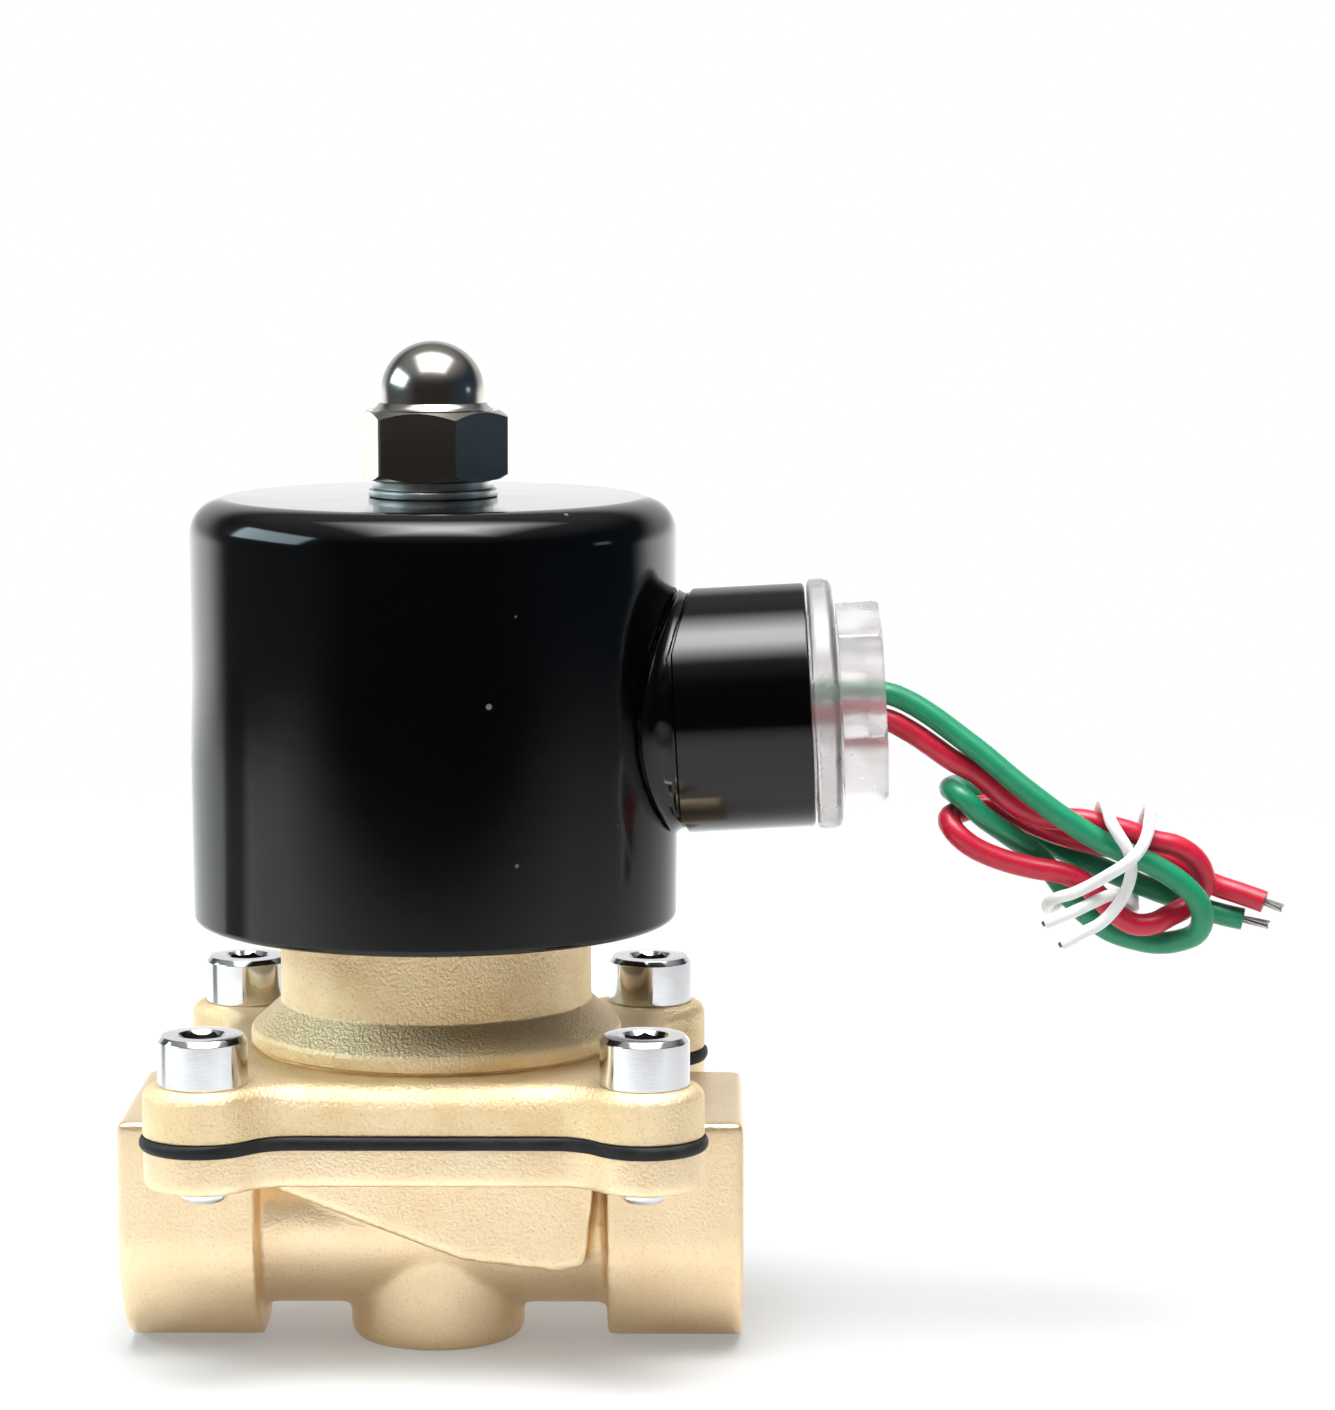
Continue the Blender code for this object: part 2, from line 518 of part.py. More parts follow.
def make_plunger():
    foot_z = 27.1 * MM
    neck_radius, foot_radius = 3.9 * MM, 5.0 * MM
    seal_radius, seal_top = 2.6 * MM, 28.6 * MM
    spring_hole, spring_floor = 3.1 * MM, 46.3 * MM
    plunger = turned("plunger", [
        (0, PLUNGER_TOP_Z), (PLUNGER_RADIUS, PLUNGER_TOP_Z), (PLUNGER_RADIUS, 31.5 * MM),
        (neck_radius, 31.5 * MM), (neck_radius, 28.1 * MM), (foot_radius, 28.1 * MM),
        (foot_radius, foot_z), (0, foot_z)], "steel")
    cut(plunger,
        prism("seal_pocket", seal_radius + GAP, foot_z - MM, seal_top + GAP, sides=24),
        prism("spring_pocket", spring_hole, spring_floor, PLUNGER_TOP_Z + MM, sides=24),
        box("equalising_slot", (5.4 * MM, -0.6 * MM, 31 * MM), (7 * MM, 0.6 * MM, 54 * MM)))
    prism("plunger_seal", seal_radius, 26.6 * MM, seal_top, sides=24, material="rubber")

    turns, per_turn = 8, 8
    low, high = spring_floor + 0.6 * MM, CORE_FACE_Z - 0.6 * MM
    points = []
    for step in range(turns * per_turn + 1):
        angle = math.tau * step / per_turn
        z = low + (high - low) * step / (turns * per_turn)
        points.append((2.4 * MM * math.cos(angle), 2.4 * MM * math.sin(angle), z))
    wire("plunger_spring", points, 0.3 * MM, "steel", resolution=0)


# ---------------------------------------------------------------- coil


def make_can(coil, hub_axis):
    low, high = CAN_Z
    inner = CAN_RADIUS - CAN_WALL
    bend = CAN_TOP_RADIUS - CAN_ROUNDING
    outer_bend = arc((bend, high - CAN_ROUNDING), CAN_ROUNDING, 90, 0, 4)
    inner_bend = arc((bend, high - CAN_ROUNDING), CAN_ROUNDING - CAN_WALL, 0, 90, 2)
    stud_hole = STUD_RADIUS + 0.4 * MM
    can = turned("coil_can", [
        (stud_hole, high), *outer_bend, (CAN_RADIUS, low), (inner, low), *inner_bend,
        (stud_hole, high - CAN_WALL)], "black_paint", steps=40, closed=True, parent=coil)
    cut(can, prism("can_side_opening", 9.8 * MM, 15 * MM, 30 * MM, parent=hub_axis))

    plate_radius = inner - GAP
    ring("can_bottom_plate", BORE_CLEARANCE_RADIUS, plate_radius, 45.5 * MM, 47.0 * MM,
         "black_paint", steps=32, parent=coil)
    ring("yoke_top_plate", BORE_CLEARANCE_RADIUS, bend + MM / 2, 86.5 * MM, 88.4 * MM,
         "steel", steps=32, parent=coil)


def make_winding(coil):
    bore, wall, flange = 8.1 * MM, 8.9 * MM, 18.2 * MM
    low, high, thick = 47.3 * MM, 86.2 * MM, 1.2 * MM
    turned("bobbin", [
        (bore, high), (flange, high), (flange, high - thick), (wall, high - thick),
        (wall, low + thick), (flange, low + thick), (flange, low), (bore, low),
    ], "nylon", closed=True, parent=coil)
    wound = (low + thick + GAP, high - thick - GAP)
    ring("winding", wall + GAP, 17.2 * MM, *wound, "copper", parent=coil)
    ring("winding_tape", 17.5 * MM, 18.0 * MM, *wound, "tape", steps=32, parent=coil)
    sleeve = bore - GAP
    ring("flux_sleeve_lower", BORE_CLEARANCE_RADIUS, sleeve, low, 57 * MM, "steel", parent=coil)
    ring("flux_sleeve_upper", BORE_CLEARANCE_RADIUS, sleeve, 75 * MM, high, "steel", parent=coil)
    potting = ring("potting", flange + GAP, CAN_RADIUS - CAN_WALL - GAP, low, high - 0.5 * MM,
                   "resin", steps=36, parent=coil)
    cut(potting, box("splice_window", (15 * MM, -4.5 * MM, 60 * MM), (27 * MM, 4.5 * MM, 76 * MM)))


def make_conduit_hub(coil, hub_axis):
    hub = ring("conduit_hub", HUB_INNER_RADIUS, HUB_RADIUS, 20 * MM, HUB_END,
               "black_paint", steps=40, parent=hub_axis)
    cut(hub, prism("can_outside", CAN_TOP_RADIUS + GAP, 40 * MM, 95 * MM, sides=40, parent=coil))

    flange_start, flange_end = HUB_END + GAP, HUB_END + 2.9 * MM
    bushing = turned("conduit_bushing", [
        (0, 45 * MM), (8.6 * MM, 45 * MM), (8.6 * MM, flange_end), (13.2 * MM, flange_end),
        (13.2 * MM, flange_start), (9.8 * MM, flange_start), (9.8 * MM, 33.5 * MM),
        (0, 33.5 * MM)], "clear_plastic", steps=32, parent=hub_axis)
    join(bushing, prism("bushing_hexagon", BUSHING_HEX_RADIUS, flange_end + 0.4 * MM, BUSHING_END,
                        sides=6, turn=math.radians(-17.0), parent=hub_axis))
    cut(bushing, prism("bushing_bore", BUSHING_BORE_RADIUS, 30 * MM, 50 * MM, sides=24,
                       parent=hub_axis))


def make_lead(coil, colour, route, conductor_length):
    """One lead, with its splice and magnet wire inside and its bare conductor outside."""
    points = smooth_points(route, LEAD_SPACING)
    wire(f"lead_{colour}", points, LEAD_RADIUS, f"{colour}_pvc", coil)
    lead_z = points[0].z
    splice = [Vector((x, 0, lead_z)) for x in (SPLICE_START_X, LEAD_START_X - GAP)]
    wire(f"splice_sleeve_{colour}", splice, 1.3 * MM, "nylon", coil)
    side = 1.0 if colour == "green" else -1.0
    magnet_wire = [Vector((18.4 * MM, 2.5 * side * MM, lead_z + 2 * side * MM)),
                   Vector((21 * MM, 2.0 * side * MM, lead_z + 2 * side * MM)),
                   Vector((24 * MM, 0.6 * side * MM, lead_z + 0.5 * side * MM)),
                   Vector((SPLICE_START_X - GAP, 0, lead_z))]
    wire(f"magnet_wire_{colour}", magnet_wire, 0.3 * MM, "copper", coil)
    direction = (points[-1] - points[-2]).normalized()
    tip = [points[-1] + direction * GAP, points[-1] + direction * (GAP + conductor_length)]
    wire(f"conductor_{colour}", tip, CONDUCTOR_RADIUS, "tinned_wire", coil)


def make_leads(coil):
    make_lead(coil, "green", GREEN_ROUTE_MM, 2.6 * MM)
    make_lead(coil, "red", RED_ROUTE_MM, 1.8 * MM)
    wire("wire_tie", smooth_points(TIE_ROUTE_MM, TIE_SPACING), TIE_RADIUS, "white_pvc", coil, resolution=1)


def make_coil():
    coil = bpy.data.objects.new("coil", None)
    hub_axis = bpy.data.objects.new("hub_axis", None)
    for empty in (coil, hub_axis):
        PARTS.objects.link(empty)
    hub_axis.parent = coil
    hub_axis.location = (0, 0, HUB_ROOT_Z)
    hub_axis.rotation_euler = (0, math.radians(90) - HUB_TILT, 0)
    make_can(coil, hub_axis)
    make_winding(coil)
    make_conduit_hub(coil, hub_axis)
    make_leads(coil)


# ---------------------------------------------------------------- nut and washers


def make_top_fasteners():
    hole = STUD_RADIUS + GAP
    washer_low = CAN_Z[1] + GAP
    ring("flat_washer", hole, 6.8 * MM, washer_low, washer_low + 0.75 * MM, "chrome")
    spring = ring("spring_washer", hole, 6.3 * MM, washer_low + 1.0 * MM, NUT_HEX_Z[0] - GAP, "chrome")
    slot = box("spring_washer_split", (3 * MM, -0.6 * MM, 90 * MM), (8 * MM, 0.6 * MM, 92 * MM))
    slot.rotation_euler = (0, 0, math.radians(130))
    cut(spring, slot)

    low, high = NUT_HEX_Z
    nut = prism("acorn_nut", NUT_HEX_RADIUS, low, high, sides=6, turn=NUT_TURN, material="chrome")
    dome = [(0, high + 1.6 * MM + NUT_DOME_RADIUS)]
    dome += arc((0, high + 1.6 * MM), NUT_DOME_RADIUS, 90, 0, 6)[1:]
    dome += [(NUT_DOME_RADIUS, high - MM), (0, high - MM)]
    join(nut, turned("nut_dome", dome, steps=24))
    corner = NUT_HEX_RADIUS + 0.1 * MM
    rounding = turned("nut_rounding", [
        (0, 110 * MM), (7.1 * MM, 110 * MM), (7.1 * MM, high), (corner, high - 0.6 * MM),
        (corner, low + 0.6 * MM), (7.1 * MM, low), (7.1 * MM, low - MM), (0, low - MM)])
    combine(nut, rounding, "INTERSECT")
    cut(nut, prism("nut_bore", hole, low - MM, 101 * MM, sides=24))


def main():
    start_scene()
    make_valve_body()
    make_bonnet()
    make_cap_screws()
    make_tube()
    make_fixed_core()
    make_diaphragm()
    make_plunger()
    make_coil()
    make_top_fasteners()


main()
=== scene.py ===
"""The looks of the solenoid valve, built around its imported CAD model.

Metres, in the CAD model's frame: +Z up the armature tube, +X out of the outlet port on
the side of the leads, -Y towards the camera.
"""

import bisect
import math

import bmesh
import bpy
from mathutils import Matrix, Vector, noise


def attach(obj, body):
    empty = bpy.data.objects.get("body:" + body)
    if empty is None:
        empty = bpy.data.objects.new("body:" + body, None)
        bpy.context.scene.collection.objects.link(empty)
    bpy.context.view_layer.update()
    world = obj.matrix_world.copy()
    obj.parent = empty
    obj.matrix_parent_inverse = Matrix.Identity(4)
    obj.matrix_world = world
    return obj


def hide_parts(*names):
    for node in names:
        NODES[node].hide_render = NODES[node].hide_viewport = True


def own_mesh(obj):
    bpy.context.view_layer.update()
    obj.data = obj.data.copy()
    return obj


MM = 0.001

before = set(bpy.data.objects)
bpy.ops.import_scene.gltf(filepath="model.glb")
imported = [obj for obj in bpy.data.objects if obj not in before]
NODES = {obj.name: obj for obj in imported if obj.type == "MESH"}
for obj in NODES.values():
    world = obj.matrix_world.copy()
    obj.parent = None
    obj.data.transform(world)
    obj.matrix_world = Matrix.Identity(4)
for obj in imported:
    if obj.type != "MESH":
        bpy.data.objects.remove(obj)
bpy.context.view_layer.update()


def placed(name, data):
    """A new object in the scene with this data."""
    obj = bpy.data.objects.new(name, data)
    bpy.context.scene.collection.objects.link(obj)
    return obj


# -------- camera

FOCAL_LENGTH = 112.96  # mm, on Blender's own sensor
CAMERA_PLACE = (28.40 * MM, -464.30 * MM, 126.01 * MM)
YAW, PITCH = -0.0081, 0.1248  # radians to the right of +Y, and down


def make_camera():
    data = bpy.data.cameras.new("camera")
    data.lens = FOCAL_LENGTH
    data.clip_start, data.clip_end = 0.01, 30.0
    camera = placed("camera", data)
    camera.location = CAMERA_PLACE
    forward = (math.sin(YAW) * math.cos(PITCH), math.cos(YAW) * math.cos(PITCH), -math.sin(PITCH))
    camera.rotation_mode = "QUATERNION"
    camera.rotation_quaternion = Vector(forward).to_track_quat("-Z", "Y")
    bpy.context.scene.camera = camera


make_camera()

# -------- node helpers


class Nodes:
    """Short calls that add nodes to a tree. An input is a number, a tuple or another node's output."""

    def __init__(self, tree):
        self.tree = tree

    def feed(self, socket, value):
        if isinstance(value, bpy.types.NodeSocket):
            self.tree.links.new(value, socket)
        elif isinstance(value, tuple) and len(value) < len(socket.default_value):
            socket.default_value = (*value, 1.0)
        else:
            socket.default_value = value

    def node(self, kind, **inputs):
        """Each input has its socket's name, with _ for a space, or i and the socket's number."""
        made = self.tree.nodes.new(kind)
        for key, value in inputs.items():
            numbered = key[0] == "i" and key[1:].isdigit()
            self.feed(made.inputs[int(key[1:]) if numbered else key.replace("_", " ")], value)
        return made

    def ramp(self, value, low, high, out_low=0.0, out_high=1.0, smooth=False):
        made = self.node("ShaderNodeMapRange", Value=value, From_Min=low, From_Max=high,
                         To_Min=out_low, To_Max=out_high)
        if smooth:
            made.interpolation_type = "SMOOTHSTEP"
        return made.outputs["Result"]

    def mix(self, factor, one, two):
        made = self.tree.nodes.new("ShaderNodeMix")
        made.data_type = "RGBA"
        for index, value in ((0, factor), (6, one), (7, two)):
            self.feed(made.inputs[index], value)
        return made.outputs[2]

    def mix_shaders(self, factor, one, two):
        return self.node("ShaderNodeMixShader", i0=factor, i1=one.outputs[0], i2=two.outputs[0])

    def math(self, operation, one, two=0.0):
        made = self.node("ShaderNodeMath", i0=one, i1=two)
        made.operation = operation
        return made.outputs[0]

    def times(self, product, *others):
        for other in others:
            product = self.math("MULTIPLY", product, other)
        return product


class Paint(Nodes):
    """A material with one Principled shader, whose patterns are fixed to the object."""

    def __init__(self, name, **values):
        self.material = bpy.data.materials.new(name)
        self.material.use_nodes = True
        super().__init__(self.material.node_tree)
        self.shader = self.tree.nodes["Principled BSDF"]
        self.coords = self.tree.nodes.new("ShaderNodeTexCoord").outputs["Object"]
        self.set(**values)

    def set(self, **values):
        for key, value in values.items():
            self.feed(self.shader.inputs[key.replace("_", " ")], value)

    def stretched(self, scale):
        return self.node("ShaderNodeMapping", Vector=self.coords, Scale=scale).outputs["Vector"]

    def noise(self, scale, detail=2.0, roughness=0.5, distortion=0.0, vector=None):
        return self.node("ShaderNodeTexNoise", Vector=vector or self.coords, Scale=scale, Detail=detail,
                         Roughness=roughness, Distortion=distortion).outputs["Fac"]

    def voronoi(self, scale):
        return self.node("ShaderNodeTexVoronoi", Vector=self.coords, Scale=scale).outputs["Distance"]

    def vary(self, pattern, tones, colour, shade, spread, smoothest, roughest):
        """Colour and roughness that follow one pattern, each over its own part of it."""
        self.set(Base_Color=self.mix(self.ramp(pattern, *tones), colour, shade),
                 Roughness=self.ramp(pattern, *spread, smoothest, roughest))

    def bump(self, height, distance, strength=1.0, under=None):
        made = self.node("ShaderNodeBump", Height=height, Distance=distance, Strength=strength)
        if under:
            self.feed(made.inputs["Normal"], under)
        self.set(Normal=made.outputs["Normal"])
        return made.outputs["Normal"]


# -------- looks


def scaled(colour, factor):
    return tuple(factor * channel for channel in colour)


def blasted_brass(name, light, dark, rough, grain, depth):
    """Sand-blasted forged brass: fine pits over broad, faint mottling."""
    paint = Paint(name, Metallic=1.0)
    mottle = paint.noise(140, 4, 0.6)
    patches = paint.noise(45, 2, 0.5)
    grains = paint.noise(1 / grain, 3, 0.65)
    tone = paint.mix(paint.ramp(mottle, 0.35, 0.65), dark, light)
    tone = paint.mix(paint.ramp(grains, 0.56, 0.74, 0.0, 0.5), tone, scaled(dark, 0.55))
    paint.set(Base_Color=tone, Roughness=paint.ramp(patches, 0.3, 0.7, rough - 0.04, rough + 0.05))
    pits = paint.bump(paint.voronoi(0.8 / grain), 0.25 * depth)
    paint.bump(grains, depth, 1.0, pits)
    return paint.material


def gloss_black(name):
    """Gloss stove paint with a faint orange peel and a few specks of dust."""
    paint = Paint(name, Metallic=0.0, Specular_IOR_Level=0.5, IOR=1.4)
    specks = paint.ramp(paint.voronoi(150), 0.035, 0.055, 1.0, 0.0)
    dust = paint.times(specks, paint.ramp(paint.noise(60, 1), 0.52, 0.56))
    paint.set(Base_Color=paint.mix(dust, (0.0008, 0.0008, 0.0009), (0.16, 0.16, 0.15)))
    haze = paint.ramp(paint.noise(35, 3, 0.6), 0.3, 0.7, 0.09, 0.13)
    paint.set(Roughness=paint.math("ADD", haze, paint.times(dust, 0.5)))
    paint.bump(paint.noise(170, 2), 0.012 * MM)
    return paint.material


def plated(name, colour, rough, dark=None):
    """Bright nickel or chrome plate with faint wipe marks."""
    paint = Paint(name, Metallic=1.0)
    smear = paint.noise(220, 4, 0.65, 0.4)
    wiped = paint.noise(900, 2, 0.5, 0.0, paint.stretched((1, 1, 6)))
    paint.vary(smear, (0.4, 0.75), colour, dark or scaled(colour, 0.86), (0.3, 0.8), rough, rough + 0.09)
    paint.bump(wiped, 0.004 * MM, 0.6)
    return paint.material


def turned_metal(name, colour, rough, pitch=0.18 * MM):
    """Machined metal with fine turning lines round the Z axis."""
    paint = Paint(name, Metallic=1.0)
    lines = paint.noise(1 / pitch, 2, 0.5, 0.0, paint.stretched((0.02, 0.02, 1)))
    blotch = paint.noise(160, 3)
    paint.set(Base_Color=paint.mix(paint.ramp(blotch, 0.35, 0.7), colour, scaled(colour, 0.8)),
              Roughness=paint.ramp(lines, 0.3, 0.7, rough - 0.05, rough + 0.08))
    paint.bump(lines, 0.006 * MM)
    return paint.material


def rubber_look(name, colour, shade, rough):
    """Moulded rubber with a faint bloom."""
    paint = Paint(name, Specular_IOR_Level=0.25)
    bloom = paint.noise(300, 4, 0.6)
    paint.vary(bloom, (0.45, 0.8), colour, shade, (0.3, 0.7), rough - 0.07, rough + 0.1)
    paint.bump(paint.noise(1800, 2), 0.02 * MM)
    return paint.material


def insulation(name, colour, shade, rough=0.33):
    """Extruded PVC with faint drag lines and scuffs."""
    paint = Paint(name, Subsurface_Weight=0.12, Subsurface_Scale=0.6 * MM, IOR=1.52,
                  Subsurface_Radius=(1.0, 0.6, 0.4))
    scuff = paint.noise(420, 4, 0.6)
    paint.vary(scuff, (0.35, 0.75), colour, shade, (0.3, 0.7), rough - 0.06, rough + 0.1)
    paint.bump(paint.noise(2200, 2), 0.008 * MM)
    return paint.material


def clear_look(name, tint, clear, rough, frost=0.0):
    """Clear plastic: clear is the part of the light that goes through it, frost makes it uneven."""
    paint = Paint(name, IOR=1.45, Transmission_Weight=clear, Base_Color=tint)
    flow = paint.noise(260, 3, 0.6, 0.5)
    paint.set(Roughness=paint.ramp(flow, 0.3, 0.7, rough, rough + 0.08 + frost))
    paint.bump(paint.noise(500, 2), (0.015 + 0.05 * frost) * MM)
    return paint.material


def moulded(name, colour, shade, rough):
    """A moulded or cast plastic with faint flow marks."""
    paint = Paint(name)
    flow = paint.noise(120, 4, 0.6)
    paint.vary(flow, (0.35, 0.7), colour, shade, (0.3, 0.7), rough - 0.05, rough + 0.08)
    paint.bump(paint.noise(1500, 2), 0.012 * MM)
    return paint.material


# Each look is its function and what follows the name in that function's arguments.
RECIPES = {
    "body_brass": (blasted_brass, (0.93, 0.75, 0.50), (0.89, 0.69, 0.44), 0.40, 0.30 * MM, 0.050 * MM),
    "bonnet_brass": (blasted_brass, (0.96, 0.78, 0.51), (0.87, 0.67, 0.39), 0.54, 0.34 * MM, 0.170 * MM),
    "turned_brass": (turned_metal, (0.86, 0.66, 0.34), 0.26),
    "steel": (turned_metal, (0.60, 0.60, 0.61), 0.28),
    "screw_chrome": (plated, (0.72, 0.72, 0.73), 0.06),
    "nut_nickel": (plated, (0.39, 0.38, 0.35), 0.15, (0.34, 0.31, 0.27)),
    "washer_zinc": (plated, (0.72, 0.75, 0.73), 0.34),
    "copper": (turned_metal, (0.74, 0.36, 0.20), 0.30, 0.35 * MM),
    "black_paint": (gloss_black,),
    "rubber": (rubber_look, (0.008, 0.008, 0.008), (0.0276, 0.0276, 0.0276), 0.55),
    "nylon": (moulded, (0.80, 0.78, 0.71), (0.72, 0.69, 0.60), 0.42),
    "tape": (moulded, (0.80, 0.60, 0.08), (0.66, 0.46, 0.05), 0.30),
    "resin": (moulded, (0.06, 0.05, 0.045), (0.03, 0.028, 0.026), 0.30),
    "clear_plastic": (clear_look, (0.87, 0.845, 0.845), 0.90, 0.26),
    "frosted_plastic": (clear_look, (0.76, 0.735, 0.73), 0.88, 0.24, 0.06),
    "green_pvc": (insulation, (0.010, 0.285, 0.135), (0.008, 0.225, 0.105)),
    "red_pvc": (insulation, (0.600, 0.012, 0.045), (0.470, 0.008, 0.032)),
    "white_pvc": (insulation, (0.86, 0.87, 0.86), (0.78, 0.79, 0.78), 0.40),
    "tinned_wire": (turned_metal, (0.50, 0.49, 0.48), 0.34, 0.4 * MM),
    "dark_core": (turned_metal, (0.20, 0.19, 0.18), 0.40, 0.4 * MM),
}
LOOKS = {name: make(name, *values) for name, (make, *values) in RECIPES.items()}

# -------- mesh helpers

FACE_WEIGHT = 80  # how far a large face bends the normals that it shares with small ones
STRAIGHT = math.radians(178)  # a corner as open as this isn't rounded
SIDE_SHARE = 0.48  # the most that rounding takes from each side of a corner


def piece(name, mesh, look, body, replaced, angle=35):
    """A finished piece: its look or looks, its body, and the node it stands for, which it hides."""
    obj = placed(name, mesh)
    mesh.materials.clear()
    for one in [look] if isinstance(look, str) else look:
        mesh.materials.append(LOOKS[one])
    mesh.polygons.foreach_set("material_index", [0] * len(mesh.polygons))
    mesh.shade_smooth()
    mesh.set_sharp_from_angle(angle=math.radians(angle))
    weighted = obj.modifiers.new("large_faces_first", "WEIGHTED_NORMAL")
    weighted.keep_sharp = True
    weighted.weight = FACE_WEIGHT
    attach(obj, body)
    if replaced:
        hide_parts(replaced)
    return obj


def in_mm(values):
    """The same numbers or points, read as millimetres."""
    return [in_mm(value) if hasattr(value, "__len__") else value * MM for value in values]


def share(value, low, high):
    """How far value has come from low to high, from 0 to 1."""
    return min(1.0, max(0.0, (value - low) / (high - low)))


def ring(radius, z, steps):
    angles = [math.tau * j / steps for j in range(steps)]
    return [(radius * math.cos(angle), radius * math.sin(angle), z) for angle in angles]


def square_corners(half):
    return [(-half, -half), (half, -half), (half, half), (-half, half)]


def mesh_from(name, build):
    bm = bmesh.new()
    build(bm)
    bmesh.ops.recalc_face_normals(bm, faces=bm.faces)
    mesh = bpy.data.meshes.new(name)
    bm.to_mesh(mesh)
    bm.free()
    return mesh


def grid_mesh(name, rows, closed_rows=False):
    """A skin over rows of points, where each row is a loop. closed_rows joins the last row to
    the first. Otherwise both ends are capped."""
    wide, count = len(rows[0]), len(rows)

    def build(bm):
        verts = [bm.verts.new(point) for row in rows for point in row]
        for i in range(count if closed_rows else count - 1):
            a, b = i * wide, (i + 1) % count * wide
            for j in range(wide):
                k = (j + 1) % wide
                bm.faces.new((verts[a + j], verts[a + k], verts[b + k], verts[b + j]))
        if not closed_rows:
            bm.faces.new(verts[:wide][::-1])
            bm.faces.new(verts[-wide:])

    return mesh_from(name, build)


def turned(name, profile, steps=96, closed=False):
    """A profile of (radius, z) turned about Z. A closed one has a hole along the axis."""
    return grid_mesh(name, [ring(radius, z, steps) for radius, z in profile], closed)


def arc(centre, radius, start, end, steps):
    angles = [math.radians(start + (end - start) * i / steps) for i in range(steps + 1)]
    return [(centre[0] + radius * math.cos(a), centre[1] + radius * math.sin(a)) for a in angles]


def rounded(profile, radius, steps=4, closed=False):
    """The same profile with each corner rounded. radius is one number, or one for each point."""
    count = len(profile)
    radii = radius if hasattr(radius, "__len__") else [radius] * count
    out = []
    for i, (p, r) in enumerate(zip(profile, radii)):
        if r <= 0 or (not closed and i in (0, count - 1)):
            out.append(p)
            continue
        p, a, b = Vector(p), Vector(profile[i - 1]), Vector(profile[(i + 1) % count])
        to_a, to_b = a - p, b - p
        angle = to_a.angle(to_b)
        if angle > STRAIGHT:
            out.append(tuple(p))
            continue
        back = min(r / math.tan(angle / 2), SIDE_SHARE * to_a.length, SIDE_SHARE * to_b.length)
        start, end = p + to_a.normalized() * back, p + to_b.normalized() * back
        for k in range(steps + 1):
            t = k / steps
            out.append(tuple(start * (1 - t) ** 2 + p * 2 * t * (1 - t) + end * t**2))
    return out


def box_mesh(name, low, high):
    """A box between two corners, which are in mm."""
    low, high = Vector(low) * MM, Vector(high) * MM
    place = Matrix.Translation((low + high) / 2) @ Matrix.Diagonal((*(high - low), 1.0))
    return mesh_from(name, lambda bm: bmesh.ops.create_cube(bm, size=1.0, matrix=place))


def prism(name, radius, z_low, z_high, sides=64):
    place = Matrix.Translation((0, 0, (z_low + z_high) / 2))

    def build(bm):
        bmesh.ops.create_cone(bm, cap_ends=True, segments=sides, radius1=radius,
                              radius2=radius, depth=z_high - z_low, matrix=place)

    return mesh_from(name, build)


def hex_bar(name, radius, low, high, turn, edge):
    """A hexagonal bar whose long edges are slightly rounded."""
    corners = [turn + math.radians(60 * corner) for corner in range(6)]
    outline = rounded([(radius * math.cos(a), radius * math.sin(a)) for a in corners], edge, 4, True)
    return grid_mesh(name, [[(x, y, z) for x, y in outline] for z in (low, high)])


def moved(mesh, matrix):
    mesh.transform(matrix)
    return mesh


def evaluated(obj):
    """The mesh that the object's modifiers give, in place of the object."""
    bpy.context.view_layer.update()
    mesh = bpy.data.meshes.new_from_object(obj.evaluated_get(bpy.context.evaluated_depsgraph_get()))
    bpy.data.objects.remove(obj)
    return mesh


def combined(mesh, others, operation, solver="MANIFOLD"):
    """The mesh with the others joined on or cut away, one after another."""
    obj = placed(mesh.name, mesh)
    tools = [placed(other.name, other) for other in others]
    for tool in tools:
        modifier = obj.modifiers.new(tool.name, "BOOLEAN")
        modifier.operation = operation
        modifier.solver = solver
        modifier.object = tool
    result = evaluated(obj)
    for tool in tools:
        bpy.data.objects.remove(tool)
    return result


def smooth_points(route, spacing, steps=24):
    """Points at about this spacing on a Catmull-Rom curve through the route, which is in mm."""
    points = [Vector(p) * MM for p in route]
    ends = [points[0] * 2 - points[1], *points, points[-1] * 2 - points[-2]]
    fine = []
    for a, b, c, d in zip(ends, ends[1:], ends[2:], ends[3:]):
        for step in range(steps):
            t = step / steps
            fine.append(0.5 * (2 * b + (c - a) * t + (2 * a - 5 * b + 4 * c - d) * t**2
                               + (3 * b - a - 3 * c + d) * t**3))
    fine.append(points[-1])
    travelled = [0.0]
    for a, b in zip(fine, fine[1:]):
        travelled.append(travelled[-1] + (b - a).length)
    count = round(travelled[-1] / spacing)
    out = []
    for i in range(count):
        reach = travelled[-1] * i / count
        k = max(1, bisect.bisect_left(travelled, reach))
        part = (reach - travelled[k - 1]) / (travelled[k] - travelled[k - 1])
        out.append(fine[k - 1].lerp(fine[k], part))
    return out + [fine[-1]]


def tube_mesh(name, points, radii, sides=12):
    """A round tube along the points, with a radius at each and flat ends."""
    tangent = (points[1] - points[0]).normalized()
    normal = tangent.orthogonal().normalized()
    rows = []
    for i, (point, radius) in enumerate(zip(points, radii)):
        ahead = (points[min(i + 1, len(points) - 1)] - points[max(i - 1, 0)]).normalized()
        normal = tangent.rotation_difference(ahead) @ normal
        normal = (normal - ahead * normal.dot(ahead)).normalized()
        tangent = ahead
        side = tangent.cross(normal)
        angles = [math.tau * j / sides for j in range(sides)]
        rows.append([point + radius * (math.cos(a) * normal + math.sin(a) * side) for a in angles])
    return grid_mesh(name, rows)


